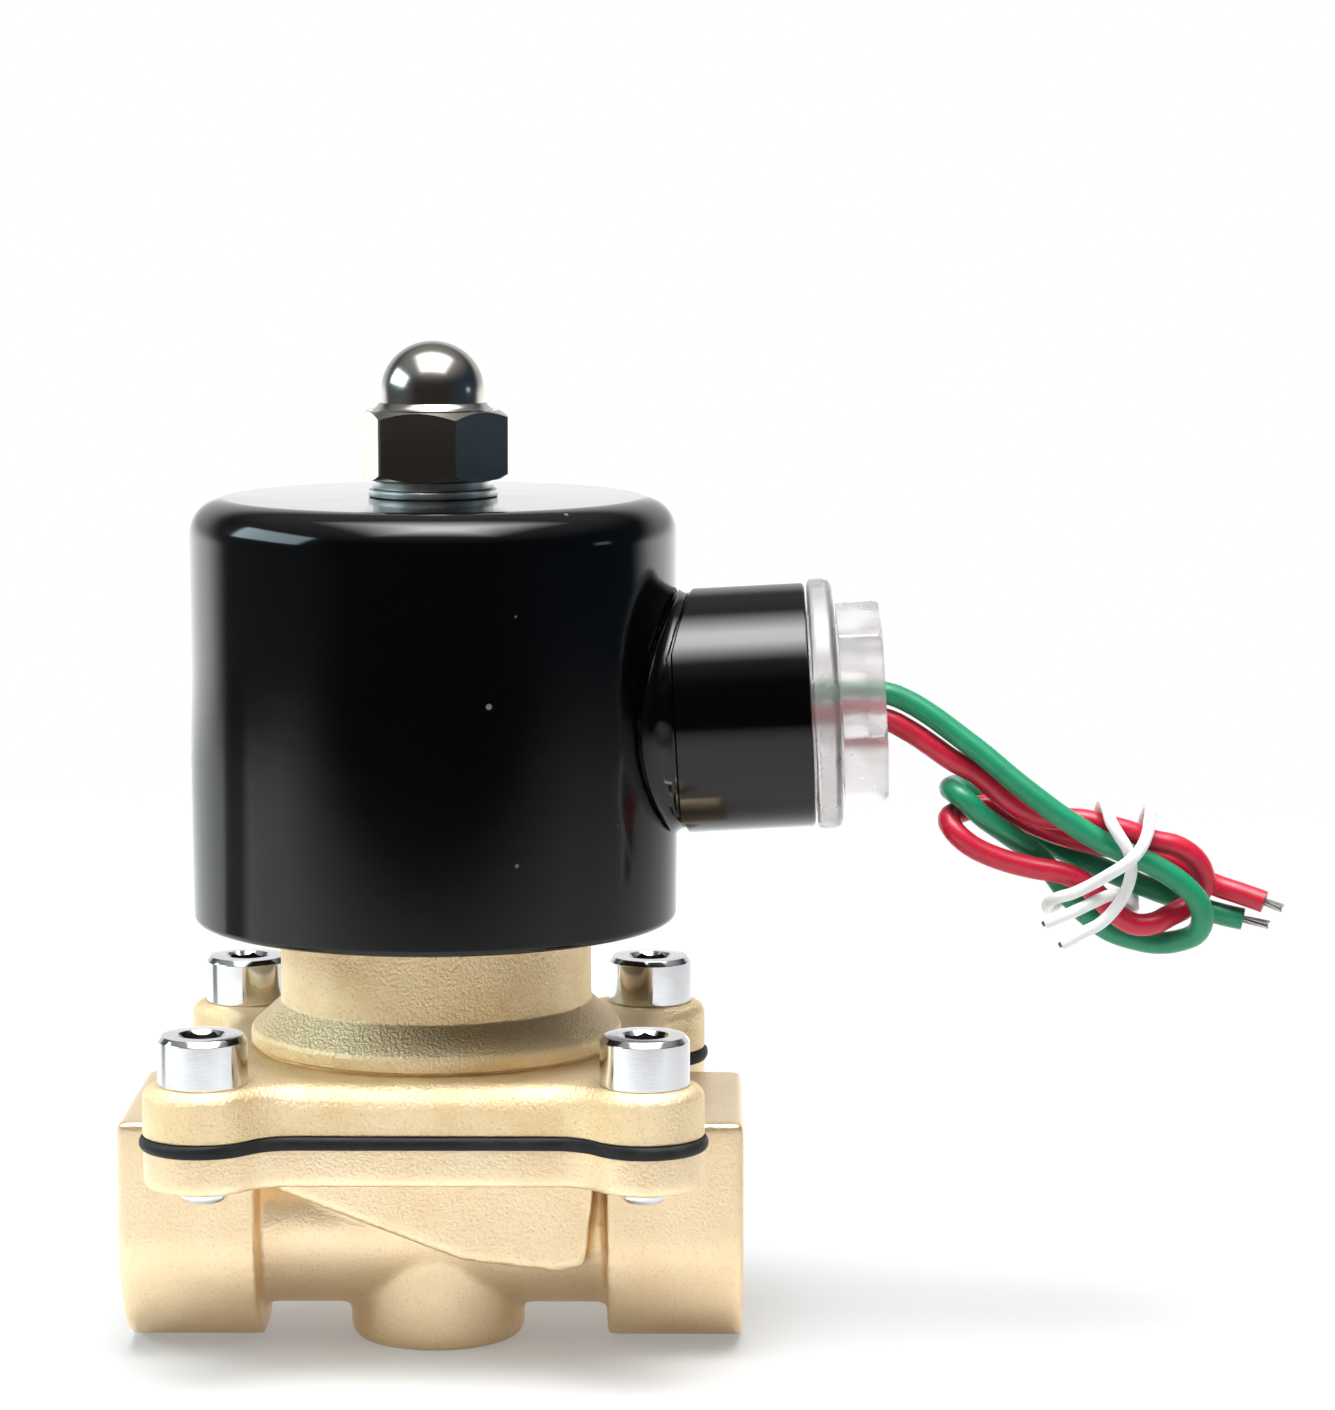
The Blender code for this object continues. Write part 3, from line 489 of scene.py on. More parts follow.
def curve_piece(name, points, radius, look, resolution):
    """One open spline along the points, as thick as the wire. It rides on the coil."""
    curve = bpy.data.curves.new(name, "CURVE")
    curve.dimensions = "3D"
    curve.bevel_depth = radius
    curve.bevel_resolution = resolution
    curve.use_fill_caps = True
    spline = curve.splines.new("POLY")
    spline.points.add(len(points) - 1)
    for point, place in zip(spline.points, points):
        point.co = (*place, 1.0)
    spline.use_smooth = True
    curve.materials.append(LOOKS[look])
    obj = placed(name, curve)
    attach(obj, "coil")
    return obj


# -------- leads

GREEN_ROUTE_MM = [
    (33.6, 0, 69.0), (38.0, 0, 69.2), (43.0, 0, 69.4), (47.4, 0, 69.1), (49.8, 0, 68.3),
    (52.4, -0.3, 66.8), (55.3, -0.8, 64.7), (58.1, -1.4, 62.6), (61.0, -2.1, 60.2),
    (63.6, -2.6, 58.2), (65.9, -2.8, 56.5), (68.5, -2.8, 54.8), (70.9, -2.8, 53.4),
    (73.5, -2.7, 52.2), (75.8, -2.7, 51.2), (78.4, -2.6, 49.6), (80.5, -2.4, 47.6),
    (81.3, -2.0, 45.5), (80.8, -0.8, 43.5), (78.9, 0.6, 42.4), (76.6, 1.3, 42.1),
    (74.0, 1.4, 42.6), (71.6, 1.3, 43.5), (69.3, 1.2, 45.2), (67.4, 1.2, 47.2),
    (66.1, 1.4, 49.0), (64.7, 1.5, 50.7), (63.1, 1.2, 52.2), (60.4, 0.2, 54.2),
    (57.9, -0.9, 56.1), (56.2, -1.5, 57.8), (55.0, -0.6, 58.6), (54.7, 1.6, 58.7),
    (55.6, 3.9, 58.6), (57.3, 5.1, 57.9), (59.4, 5.4, 56.4), (62.0, 5.2, 54.5),
    (64.8, 4.9, 52.7), (68.0, 4.4, 51.1), (70.9, 3.9, 49.8), (73.8, 3.6, 48.6),
    (76.8, 3.6, 47.4), (79.5, 3.8, 46.4), (81.5, 3.8, 45.5), (83.9, 3.6, 44.8),
    (86.2, 3.4, 44.3),
]
RED_ROUTE_MM = [
    (33.6, 0, 66.2), (38.0, 0, 66.5), (43.0, 0, 66.7), (47.5, 0, 66.3), (50.1, 0, 65.1),
    (52.4, -0.1, 63.6), (54.7, -0.2, 62.0), (57.5, -0.1, 60.4), (60.3, 0, 58.0),
    (62.6, 0.1, 56.5), (65.0, 0.2, 55.7), (67.3, 0, 55.6), (69.0, -0.2, 55.5),
    (71.0, -0.4, 55.0), (73.4, -0.5, 54.4), (76.0, -0.5, 53.4), (78.6, -0.5, 52.8),
    (80.7, -0.2, 51.3), (81.7, 0.3, 49.1), (81.0, 0.7, 47.2), (79.7, 0.6, 46.0),
    (78.0, -0.2, 45.3), (76.2, -1.1, 44.6), (74.1, -1.5, 44.6), (72.1, -1.6, 45.8),
    (70.5, -1.6, 47.4), (68.5, -1.7, 49.2), (66.1, -1.8, 50.2), (63.2, -1.8, 50.7),
    (60.2, -1.9, 51.5), (57.3, -1.9, 52.7), (55.4, -1.7, 54.1), (54.5, -0.8, 55.3),
    (54.7, 0.5, 55.9), (55.9, 1.5, 56.2), (57.5, 2.1, 56.6), (59.0, 2.4, 56.6),
    (61.1, 2.6, 55.9), (63.4, 2.6, 54.8), (66.4, 2.5, 53.6), (69.3, 2.4, 52.8),
    (72.2, 2.4, 52.2), (75.1, 2.4, 51.5), (78.1, 2.7, 50.6), (80.8, 3.2, 49.2),
    (83.2, 3.3, 48.0), (85.8, 2.7, 47.2), (88.3, 2.0, 46.4),
]
TIE_ROUTE_MM = [
    (64.4, -4.6, 45.2), (66.9, -4.6, 46.2), (69.5, -4.3, 47.4), (71.5, -3.6, 48.1),
    (73.2, -1.8, 47.6), (74.1, 0.8, 46.2), (74.5, 3.6, 45.7), (74.7, 6.2, 47.6),
    (74.9, 6.1, 51.3), (75.4, 4.6, 54.2), (75.8, 2.2, 56.2), (75.8, -0.4, 56.9),
    (75.5, -2.9, 56.2), (75.0, -5.0, 54.7), (74.1, -6.2, 53.2), (72.7, -6.6, 51.9),
    (70.9, -6.0, 50.6), (69.1, -4.8, 49.3), (67.3, -4.1, 48.3), (65.8, -3.2, 47.7),
    (65.0, -1.4, 46.8), (65.2, 1.0, 45.9), (66.2, 3.4, 45.9), (67.8, 5.6, 46.9),
    (69.2, 6.8, 49.1), (70.0, 6.4, 51.8), (70.5, 4.6, 54.4), (70.8, 2.2, 56.6),
    (70.9, -0.4, 57.5), (71.0, -2.7, 57.1), (71.3, -4.4, 55.9), (72.1, -5.0, 54.6),
    (73.0, -5.0, 53.1), (73.4, -4.9, 51.5), (73.3, -4.8, 50.0), (72.7, -4.8, 48.3),
    (71.6, -4.8, 46.6), (70.1, -5.0, 45.2), (68.1, -5.2, 44.2), (66.1, -5.4, 43.1),
]
LEAD_RADIUS = 1.2 * MM
TIE_RADIUS = 0.65 * MM
STRAND_RADIUS = 0.14 * MM
STRAND_RING = 0.29 * MM  # from the middle strand to the six round it
SKIN_COVER = 0.8 * MM  # how far the strands reach back under the skin


def stranded_end(name, base, direction, length, node):
    """Seven tinned strands with a slight twist, cut at slightly different lengths."""
    across = direction.orthogonal().normalized()
    over = direction.cross(across)
    steps = 12
    bm = bmesh.new()
    for strand in range(7):
        in_ring = STRAND_RING if strand < 6 else 0.0
        reach = length * (1.0 - 0.12 * ((strand * 5) % 7) / 7)
        points = []
        for step in range(steps + 1):
            t = step / steps
            angle = math.tau * strand / 6 + 0.9 * t
            spread = in_ring * (1 + 0.15 * t)
            points.append(base + direction * (reach * t)
                          + spread * (math.cos(angle) * across + math.sin(angle) * over))
        bm.from_mesh(tube_mesh("strand", points, [STRAND_RADIUS] * len(points), 8))
    mesh = bpy.data.meshes.new(name)
    bm.to_mesh(mesh)
    bm.free()
    return piece(name, mesh, "tinned_wire", "coil", node)


def make_lead(colour, route, bare_length):
    """An insulated lead and the bare strands at its end."""
    points = smooth_points(route, 0.7 * MM)
    lead = curve_piece(f"lead_{colour}_skin", points, LEAD_RADIUS, f"{colour}_pvc", 6)
    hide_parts(f"lead_{colour}")
    direction = (points[-1] - points[-2]).normalized()
    strands = stranded_end(f"strands_{colour}", points[-1] - direction * SKIN_COVER, direction,
                           bare_length, f"conductor_{colour}")
    return lead, strands


def make_tie():
    """A white tie with a wire core, whose two ends are cut through the core."""
    points = smooth_points(TIE_ROUTE_MM, 0.6 * MM)
    tie = curve_piece("tie_skin", points, TIE_RADIUS, "white_pvc", 5)
    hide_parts("wire_tie")
    cores = []
    for name, tip, behind in (("tie_core_1", points[0], points[1]), ("tie_core_2", points[-1], points[-2])):
        out = (tip - behind).normalized()
        core = tube_mesh(name, [tip + out * reach for reach in in_mm((-1.0, 0.15, 0.3))],
                         in_mm((0.3, 0.3, 0.22)))
        cores.append(piece(name, core, "dark_core", "coil", None))
    return tie, cores


green, green_strands = make_lead("green", GREEN_ROUTE_MM, 3.7 * MM)
red, red_strands = make_lead("red", RED_ROUTE_MM, 2.9 * MM)
tie, tie_cores = make_tie()

# -------- flanges

SCREW_SPACING = 45.0 * MM
SCREW_RADIUS = 2.5 * MM
SCREW_HOLE_RADIUS = 2.75 * MM
SCREW_HEAD_RADIUS = 4.6 * MM
SCREW_TIP_Z = 19.6 * MM
LOBE_RADIUS = 6.15 * MM
FLANGE_HALF_WIDTH = 24.1 * MM
FLANGE_FILLET = 6.0 * MM
BODY_FLANGE_Z = (21.1 * MM, 25.1 * MM)
BONNET_FLANGE_Z = (26.5 * MM, 31.7 * MM)
SCREW_HEAD_Z = (BONNET_FLANGE_Z[1] + 0.02 * MM, 36.8 * MM)
HALF_PITCH = SCREW_SPACING / 2
SCREW_PLACES = square_corners(HALF_PITCH)


def flange_outline(proud=0.0):
    """A square with a round lobe at each corner. It has as many points at any offset."""
    lobe, side, fillet = LOBE_RADIUS + proud, FLANGE_HALF_WIDTH + proud, FLANGE_FILLET - proud
    drop = side + fillet - HALF_PITCH
    along = math.sqrt((lobe + fillet) ** 2 - drop**2)
    lean = math.degrees(math.atan2(drop, along))
    corner = arc((HALF_PITCH - along, -side - fillet), fillet, 90, lean, 8)
    corner += arc((HALF_PITCH, -HALF_PITCH), lobe, 180 + lean, 450 - lean, 28)[1:-1]
    corner += arc((side + fillet, along - HALF_PITCH), fillet, 270 - lean, 180, 8)
    far_x, far_y = corner[-1]
    corner += [(far_x, far_y - 2 * far_y * k / 4) for k in range(1, 4)]
    outline = []
    for quarter in range(4):
        turn = Matrix.Rotation(math.radians(90 * quarter), 2)
        outline += [tuple(turn @ Vector(point)) for point in corner]
    return outline


def flange_mesh(name, low, high, low_round, lobe_round, side_round, wobble=0.0, seed=0.0):
    """A flange plate whose upper rim is rounder between its lobes than at them. Its sides wander
    by about wobble, as a casting's do."""
    outline, inner = flange_outline(), flange_outline(-MM)
    top_round = []
    for x, y in outline:
        gap = min(math.hypot(x - screw_x, y - screw_y) for screw_x, screw_y in SCREW_PLACES)
        top_round.append(lobe_round + (side_round - lobe_round) * share(gap, 6.2 * MM, 10.2 * MM))
    rows = []
    for at_top in (False, True):
        for angle in range(0, 91, 15):
            sine, cosine = math.sin(math.radians(angle)), math.cos(math.radians(angle))
            row = []
            for (x, y), (inner_x, inner_y), top in zip(outline, inner, top_round):
                if at_top:
                    inset, z = top * (1 - cosine), high - top * (1 - sine)
                else:
                    inset, z = low_round * (1 - sine), low + low_round * (1 - cosine)
                x, y = x + (inner_x - x) * inset / MM, y + (inner_y - y) * inset / MM
                shift = 1 + wobble * noise.noise(Vector((x, y, seed)) * 90) / math.hypot(x, y)
                row.append((x * shift, y * shift, z))
            rows.append(row)
    return grid_mesh(name, rows)


def screw_holes(low, high):
    return [moved(prism("screw_hole", SCREW_HOLE_RADIUS, low, high, 40), Matrix.Translation((x, y, 0)))
            for x, y in SCREW_PLACES]


def along_x(mesh, z=0.0):
    """Turns an upright helper so that its +Z points along +X at the given height."""
    return moved(mesh, Matrix.Translation((0, 0, z)) @ Matrix.Rotation(math.radians(90), 4, "Y"))


# -------- body

PORT_AXIS_Z = 13.5 * MM
BODY_HALF_LENGTH = 32.3 * MM
COLLAR_RADIUS = 13.5 * MM
COLLAR_TOP_Z = 25.6 * MM
COLLAR_INNER_X = 18.3 * MM
PORT_DEPTH = 13.2 * MM
PORT_MOUTH_RADIUS = 11.0 * MM
THREAD_PITCH = 1.814 * MM
THREAD_RADII = (9.35 * MM, 10.45 * MM)
THREAD_STEPS = 96
THREAD_RISE = 0.15 * MM  # from one loop of points to the next
CUT_PAST = 1.5 * MM  # how far the thread's cutter starts outside the port
CHAMBER_HALF_WIDTH = 14.5 * MM
SEAT_WALL_RADIUS = 9.3 * MM
VOXEL = 0.42 * MM
SMOOTHED = 0.4 * MM  # what the smoothing takes off each end of the forging


def thread_cutter(name):
    """The space inside a port whose mouth is at -BODY_HALF_LENGTH, along +Z until along_x turns it."""
    inner, outer = THREAD_RADII
    mouth, end = -BODY_HALF_LENGTH, PORT_DEPTH - BODY_HALF_LENGTH
    length = PORT_DEPTH + CUT_PAST
    count = round(length / THREAD_RISE)
    rows = []
    for i in range(count + 1):
        z = mouth - CUT_PAST + length * i / count
        fade = share(end - z, 1.2 * MM, 2.7 * MM)
        flare = PORT_MOUTH_RADIUS - max(0.0, z - mouth)
        row = []
        for j in range(THREAD_STEPS):
            turn = (z / THREAD_PITCH - j / THREAD_STEPS) % 1.0
            wave = min(1.0, max(0.0, 1.35 * (1 - abs(2 * turn - 1)) - 0.15))
            radius = max(inner + (outer - inner) * wave * fade, flare)
            angle = math.tau * j / THREAD_STEPS
            row.append((radius * math.cos(angle), radius * math.sin(angle), z))
        rows.append(row)
    return grid_mesh(name, rows)


def forging():
    """The body before it is machined. A remesh and smoothing wear its edges round."""
    flange = flange_mesh("flange", BODY_FLANGE_Z[0], BODY_FLANGE_Z[1] + MM, 0.6 * MM, 0.1 * MM, 0.1 * MM)
    waist = along_x(prism("waist", 10.1 * MM, -20 * MM, 20 * MM, 96), PORT_AXIS_Z)
    section = arc((0, PORT_AXIS_Z), COLLAR_RADIUS, 180, 360, 48)
    section += [(COLLAR_RADIUS, COLLAR_TOP_Z), (-COLLAR_RADIUS, COLLAR_TOP_Z)]
    end = BODY_HALF_LENGTH + SMOOTHED
    collars = [grid_mesh(name, [[(x, y, z) for y, z in section] for x in span]) for name, span in (
        ("inlet_collar", (-end, -COLLAR_INNER_X)), ("outlet_collar", (COLLAR_INNER_X, end)))]
    boss = rounded(in_mm([(6.3, -0.2), (9.3, -0.2), (9.3, 12)]), in_mm((0, 2.9, 0)), 10)
    boss = turned("boss", boss)
    sides = in_mm([(-20, 22), (-15.5, 18.4), (3.4, 11.1), (13.6, 9.9), (16.2, 10.6), (17.4, 22)])
    chamber = grid_mesh("chamber", [[(x, y, z) for x, z in sides]
                                    for y in (-CHAMBER_HALF_WIDTH, CHAMBER_HALF_WIDTH)])
    obj = placed("forging", combined(flange, [waist, *collars, boss, chamber], "UNION", "EXACT"))
    remesh = obj.modifiers.new("remesh", "REMESH")
    remesh.mode = "VOXEL"
    remesh.voxel_size = VOXEL
    smooth = obj.modifiers.new("smooth", "SMOOTH")
    smooth.factor = 0.5
    smooth.iterations = 9
    return evaluated(obj)


def machining():
    """What is cut out of the forging: its flat faces, ports, chamber, seat, ways and screw holes."""
    under = box_mesh("under_the_pad", (-40, -30, -5), (40, 30, 0))
    over = box_mesh("over_the_flange", (-24.4, -35, 25.1), (24.4, 35, 30))
    inlet = along_x(thread_cutter("inlet_thread"), PORT_AXIS_Z)
    outlet = moved(along_x(thread_cutter("outlet_thread"), PORT_AXIS_Z),
                   Matrix.Rotation(math.radians(180), 4, "Z"))
    wall = SEAT_WALL_RADIUS / MM
    shallow = in_mm([(wall, 22.6), (17.6, 22.6), (17.6, 27), (wall, 27)])
    deep = in_mm([(wall, 18.4), (13.0, 18.4), (13.0, 23), (wall, 23)])
    port_end = BODY_HALF_LENGTH - PORT_DEPTH
    ways = [prism("over_seat", 9.4 * MM, 20.3 * MM, 27 * MM),
            prism("seat_bore", 7.5 * MM, 7 * MM, 21 * MM),
            along_x(prism("outlet_way", 5.9 * MM, 0, port_end + MM), 11 * MM),
            along_x(prism("inlet_way", 6.2 * MM, -port_end - MM, -10.6 * MM), 14.8 * MM),
            box_mesh("inlet_rise", (-16, -6, 14.8), (-10.4, 6, 23))]
    return [under, over, outlet, inlet, turned("chamber", shallow, 96, True),
            turned("channel", deep, 96, True), *ways, *screw_holes(20 * MM, 27 * MM)]


def make_valve_body():
    """The forged body, with a plain raised oval on its front."""
    front = Matrix.Translation(in_mm((-0.3, -14.5, 19.2))) @ Matrix.Rotation(math.radians(90), 4, "X")
    mark = moved(prism("mark", MM, -0.5, 0.5, 48), front @ Matrix.Diagonal((2.3, 0.75, 0.0006, 1)))
    solid = combined(forging(), [mark], "UNION")
    solid = combined(solid, machining(), "DIFFERENCE")
    piece("forged_body", solid, "body_brass", "housing", "valve_body", 40)


# -------- bonnet, gasket and screws

GASKET_RADIUS = 17.4 * MM
GASKET_BULGE = 0.42 * MM


def make_bonnet():
    """The cast bonnet: a flange, a stepped tower and the space for the diaphragm and the tube."""
    flange = flange_mesh("bonnet_flange", *BONNET_FLANGE_Z, *in_mm((0.25, 1.35, 2.7, 0.12)), 3.1)
    tower = in_mm([(9.95, 28.0), (19.2, 28.0), (19.2, 31.95), (19.7, 32.15), (19.7, 33.6),
                   (16.5, 36.5), (16.5, 44.7), (9.95, 44.7)])
    tower = rounded(tower, in_mm((0, 0, 0.05, 0.15, 1.0, 0.4, 0.4, 0)), 6)
    solid = combined(flange, [turned("tower", tower, 160)], "UNION", "EXACT")
    space = in_mm([(17.4, 26), (17.4, 29.5), (12, 34.4), (7.2, 35.5), (7.2, 38.1), (9.2, 38.1),
                   (9.2, 39.9), (9.9, 39.9), (9.9, 46)])
    solid = combined(solid, [turned("space", space), *screw_holes(25 * MM, 33 * MM)], "DIFFERENCE")
    piece("cast_bonnet", solid, "bonnet_brass", "housing", "bonnet", 28)


def make_gasket():
    """The rubber between the flanges, squeezed out a little unevenly round the edge."""
    low, high = BODY_FLANGE_Z[1] + 0.01 * MM, BONNET_FLANGE_Z[0] - 0.01 * MM
    middle, half = (low + high) / 2, (high - low) / 2
    steep = math.radians(80)
    rows = []
    for k in range(9):
        angle = steep * (k / 4 - 1)
        height = middle + 0.98 * half * math.sin(angle) / math.sin(steep)
        row = []
        for x, y in flange_outline():
            place = Vector((x, y, 0.0)) * 55
            proud = 0.10 * MM + GASKET_BULGE * math.cos(angle) ** 1.5 + 0.22 * MM * noise.noise(place)
            scale = 1 + min(proud, 0.75 * MM) / math.hypot(x, y)
            lift = 0.10 * MM * noise.noise(place * 1.3 + Vector((7, 0, 0))) * math.cos(angle)
            row.append((x * scale, y * scale, height + lift))
        rows.append(row)
    opening = prism("opening", GASKET_RADIUS, 24 * MM, 28 * MM, 96)
    solid = combined(grid_mesh("gasket", rows), [opening, *screw_holes(24 * MM, 28 * MM)], "DIFFERENCE")
    piece("gasket", solid, "rubber", "housing", "diaphragm_rim", 40)


def make_cap_screws():
    """Socket head screws with a chamfered rim, a hexagon socket and a rounded tip."""
    low, high = SCREW_HEAD_Z
    tip, axis = SCREW_TIP_Z, 0.6 * MM
    profile = [(axis, tip), (SCREW_RADIUS - 0.5 * MM, tip), (SCREW_RADIUS, tip + 0.5 * MM),
               (SCREW_RADIUS, low), (SCREW_HEAD_RADIUS, low), (SCREW_HEAD_RADIUS, high - 0.55 * MM),
               (SCREW_HEAD_RADIUS - 0.45 * MM, high), (axis, high)]
    head = turned("screw", rounded(profile, in_mm((0, 0.1, 0.15, 0, 0.12, 0.12, 0.12, 0)), 4), 80)
    socket = prism("socket", 2.36 * MM, high - 2.6 * MM, high + MM, 6)
    flare_low, flare_high = high - 0.45 * MM, high + 0.45 * MM
    flare = turned("flare", [(0.5 * MM, flare_low), (2.05 * MM, flare_low),
                             (2.95 * MM, flare_high), (0.5 * MM, flare_high)], 64)
    for number, (x, y) in enumerate(SCREW_PLACES, 1):
        turn = Matrix.Rotation(math.radians(10 + 25 * number), 4, "Z")
        one = combined(head.copy(), [moved(socket.copy(), turn), flare.copy()], "DIFFERENCE", "EXACT")
        moved(one, Matrix.Translation((x, y, 0)))
        piece(f"screw_{number}", one, "screw_chrome", "housing", f"cap_screw_{number}", 30)


make_valve_body()
make_bonnet()
make_gasket()
make_cap_screws()

# -------- coil

CAN_RADIUS = 25.57 * MM
CAN_TOP_RADIUS = 25.85 * MM
CAN_Z = (45.2 * MM, 89.9 * MM)
CAN_ROUNDING = 4.0 * MM
CAN_WALL = 1.2 * MM
CAN_HOLE_RADIUS = 4.4 * MM
CAN_RIM = 0.7 * MM
HUB_RADIUS = 12.9 * MM
HUB_BORE_RADIUS = 10.2 * MM
HUB_NECK_RADIUS = HUB_RADIUS - 0.45 * MM
HUB_ROOT = 25.2 * MM  # the least distance along the hub at which its plain tube starts
HUB_END = 39.7 * MM
HUB_STEPS = 160
WELD = 1.0 * MM
BEAD = 0.35 * MM
HUB_TILT = math.radians(3.0)
HUB_FRAME = (Matrix.Translation((0, 0, 65.8 * MM))
             @ Matrix.Rotation(math.radians(90) - HUB_TILT, 4, "Y"))


def along_hub(mesh):
    """Turns a piece made upright round Z so that it lies along the hub's axis."""
    return moved(mesh, HUB_FRAME)


def make_can():
    """The drawn steel can with its rounded shoulder, and the plate that closes it below."""
    low, high = CAN_Z
    shoulder = (CAN_TOP_RADIUS - CAN_ROUNDING, high - CAN_ROUNDING)
    profile = [(CAN_HOLE_RADIUS, high), *arc(shoulder, CAN_ROUNDING, 90, 0, 14)]
    profile += arc((CAN_RADIUS - CAN_RIM, low + CAN_RIM), CAN_RIM, 0, -90, 5)
    profile += [(CAN_RADIUS - CAN_WALL, low + 0.1 * MM), (CAN_RADIUS - CAN_WALL, low + 1.5 * MM)]
    profile += arc(shoulder, CAN_ROUNDING - CAN_WALL, 0, 90, 6) + [(CAN_HOLE_RADIUS, high - CAN_WALL)]
    opening = along_hub(prism("opening", 9.8 * MM, 15 * MM, 30 * MM))
    can = combined(turned("can", profile, 192, True), [opening], "DIFFERENCE")
    piece("coil_shell", can, "black_paint", "coil", "coil_can", 30)
    plate = in_mm([(7.2, 45.5), (24.0, 45.5), (24.0, 47.0), (7.2, 47.0)])
    plate = turned("base", rounded(plate, 0.25 * MM, 3, True), 128, True)
    piece("coil_base", plate, "black_paint", "coil", "can_bottom_plate", 30)


def can_surface(radius, angle):
    """How far along the hub's axis a line beside it, at this radius and angle, leaves the can.
    Angle 0 is the low side, because the helper's +X points down once it lies along the hub."""
    side = radius * math.sin(angle)
    height = HUB_FRAME.translation.z - radius * math.cos(angle)
    upwards = min(1.0, (height - CAN_Z[0]) / (CAN_Z[1] - CAN_ROUNDING - CAN_Z[0]))
    can = CAN_RADIUS + (CAN_TOP_RADIUS - CAN_RADIUS) * upwards
    reach = math.sqrt(can**2 - side**2)
    return (reach - radius * math.cos(angle) * math.sin(HUB_TILT)) / math.cos(HUB_TILT)


def weld_line(angle):
    """The uneven weld at one angle round the hub, from the can to the tube, as (radius, distance)."""
    around = Vector((math.cos(angle), math.sin(angle), 0.3))
    flare = WELD * (1 + 0.35 * noise.noise(around * 2.6))
    line = []
    for k in range(9):
        t = math.radians(90 * k / 8)
        radius = HUB_NECK_RADIUS + flare * (1 - math.sin(t))
        along = can_surface(radius, angle) + flare * (1 - math.cos(t)) - 0.08 * MM
        line.append((radius, along))
    root = max(HUB_ROOT, along + 0.15 * MM)
    for k in (1, 2, 3):
        bead = BEAD * noise.noise(around * 4.2 + Vector((0, 0, 1.7 * k))) if k < 3 else 0.0
        line.append((HUB_NECK_RADIUS + bead, along + (root - along) * k / 3))
    return line


def make_hub():
    """The conduit hub: a plain tube with a groove at its root, and the weld between it and the can."""
    groove_radius, rim_radius = HUB_RADIUS - 0.65 * MM, HUB_RADIUS - 0.15 * MM
    root = [(groove_radius, 0.02 * MM), (groove_radius, 0.22 * MM), (rim_radius, 0.24 * MM),
            (HUB_RADIUS, 0.42 * MM)]
    end = [(HUB_RADIUS, HUB_END - 0.35 * MM), (HUB_RADIUS - 0.1 * MM, HUB_END - 0.1 * MM),
           (HUB_RADIUS - 0.35 * MM, HUB_END), (HUB_BORE_RADIUS + 0.3 * MM, HUB_END),
           (HUB_BORE_RADIUS, HUB_END - 0.3 * MM)]
    lines = []
    for j in range(HUB_STEPS):
        angle = math.tau * j / HUB_STEPS
        line = weld_line(angle)
        start = line[-1][1]
        line += [(radius, start + step) for radius, step in root] + end
        line.append((HUB_BORE_RADIUS, can_surface(HUB_BORE_RADIUS, angle) + 0.1 * MM))
        lines.append([(radius * math.cos(angle), radius * math.sin(angle), z) for radius, z in line])
    hub = along_hub(grid_mesh("hub", list(zip(*lines)), True))
    piece("hub_shell", hub, "black_paint", "coil", "conduit_hub", 30)


def make_bushing():
    """The clear bushing in the hub: a frosted collar, and a hexagonal head with a hole for the leads."""
    collar_end, end, bore = 42.6, 47.5, 3.6
    core = in_mm([(bore, 33.5), (9.8, 33.5), (9.8, 40.0), (13.2, 40.0), (13.2, collar_end),
                  (8.6, collar_end), (8.6, 46.5), (bore, 46.5)])
    core = rounded(core, in_mm((0.2, 0.5, 0.1, 0.6, 1.1, 0.3, 0.1, 0.1)), 6, True)
    head = hex_bar("head", 10.8 * MM, (collar_end + 0.35) * MM, end * MM, math.radians(-17.0), 0.5 * MM)
    turning = in_mm([(0.5, collar_end), (10.4, collar_end), (10.85, collar_end + 0.5),
                     (10.85, end - 0.5), (10.3, end), (10.3, end + 0.01), (0.5, end + 0.01)])
    head = combined(head, [turned("turning", turning, 128)], "INTERSECT", "EXACT")
    solid = combined(head, [turned("core", core, 128, True)], "UNION", "EXACT")
    mouth = in_mm([(0.5, end - 1.9), (5.6, end - 1.9), (5.9, end + 0.1), (0.5, end + 0.1)])
    hole = [prism("bore", bore * MM, 30 * MM, 50 * MM), turned("mouth", mouth, 64)]
    solid = combined(solid, hole, "DIFFERENCE", "EXACT")
    frosted = [polygon.index for polygon in solid.polygons
               if polygon.center.z < (collar_end + 0.1) * MM and polygon.center.xy.length > 4 * MM]
    made = piece("clear_bushing", along_hub(solid), ["clear_plastic", "frosted_plastic"], "coil",
                 "conduit_bushing", 30)
    for index in frosted:
        made.data.polygons[index].material_index = 1


# -------- nut and washers

NUT_Z = (91.8, 99.0)  # mm
NUT_CORNER_RADIUS = 8.2 * MM
DOME_RADIUS = 5.6  # mm


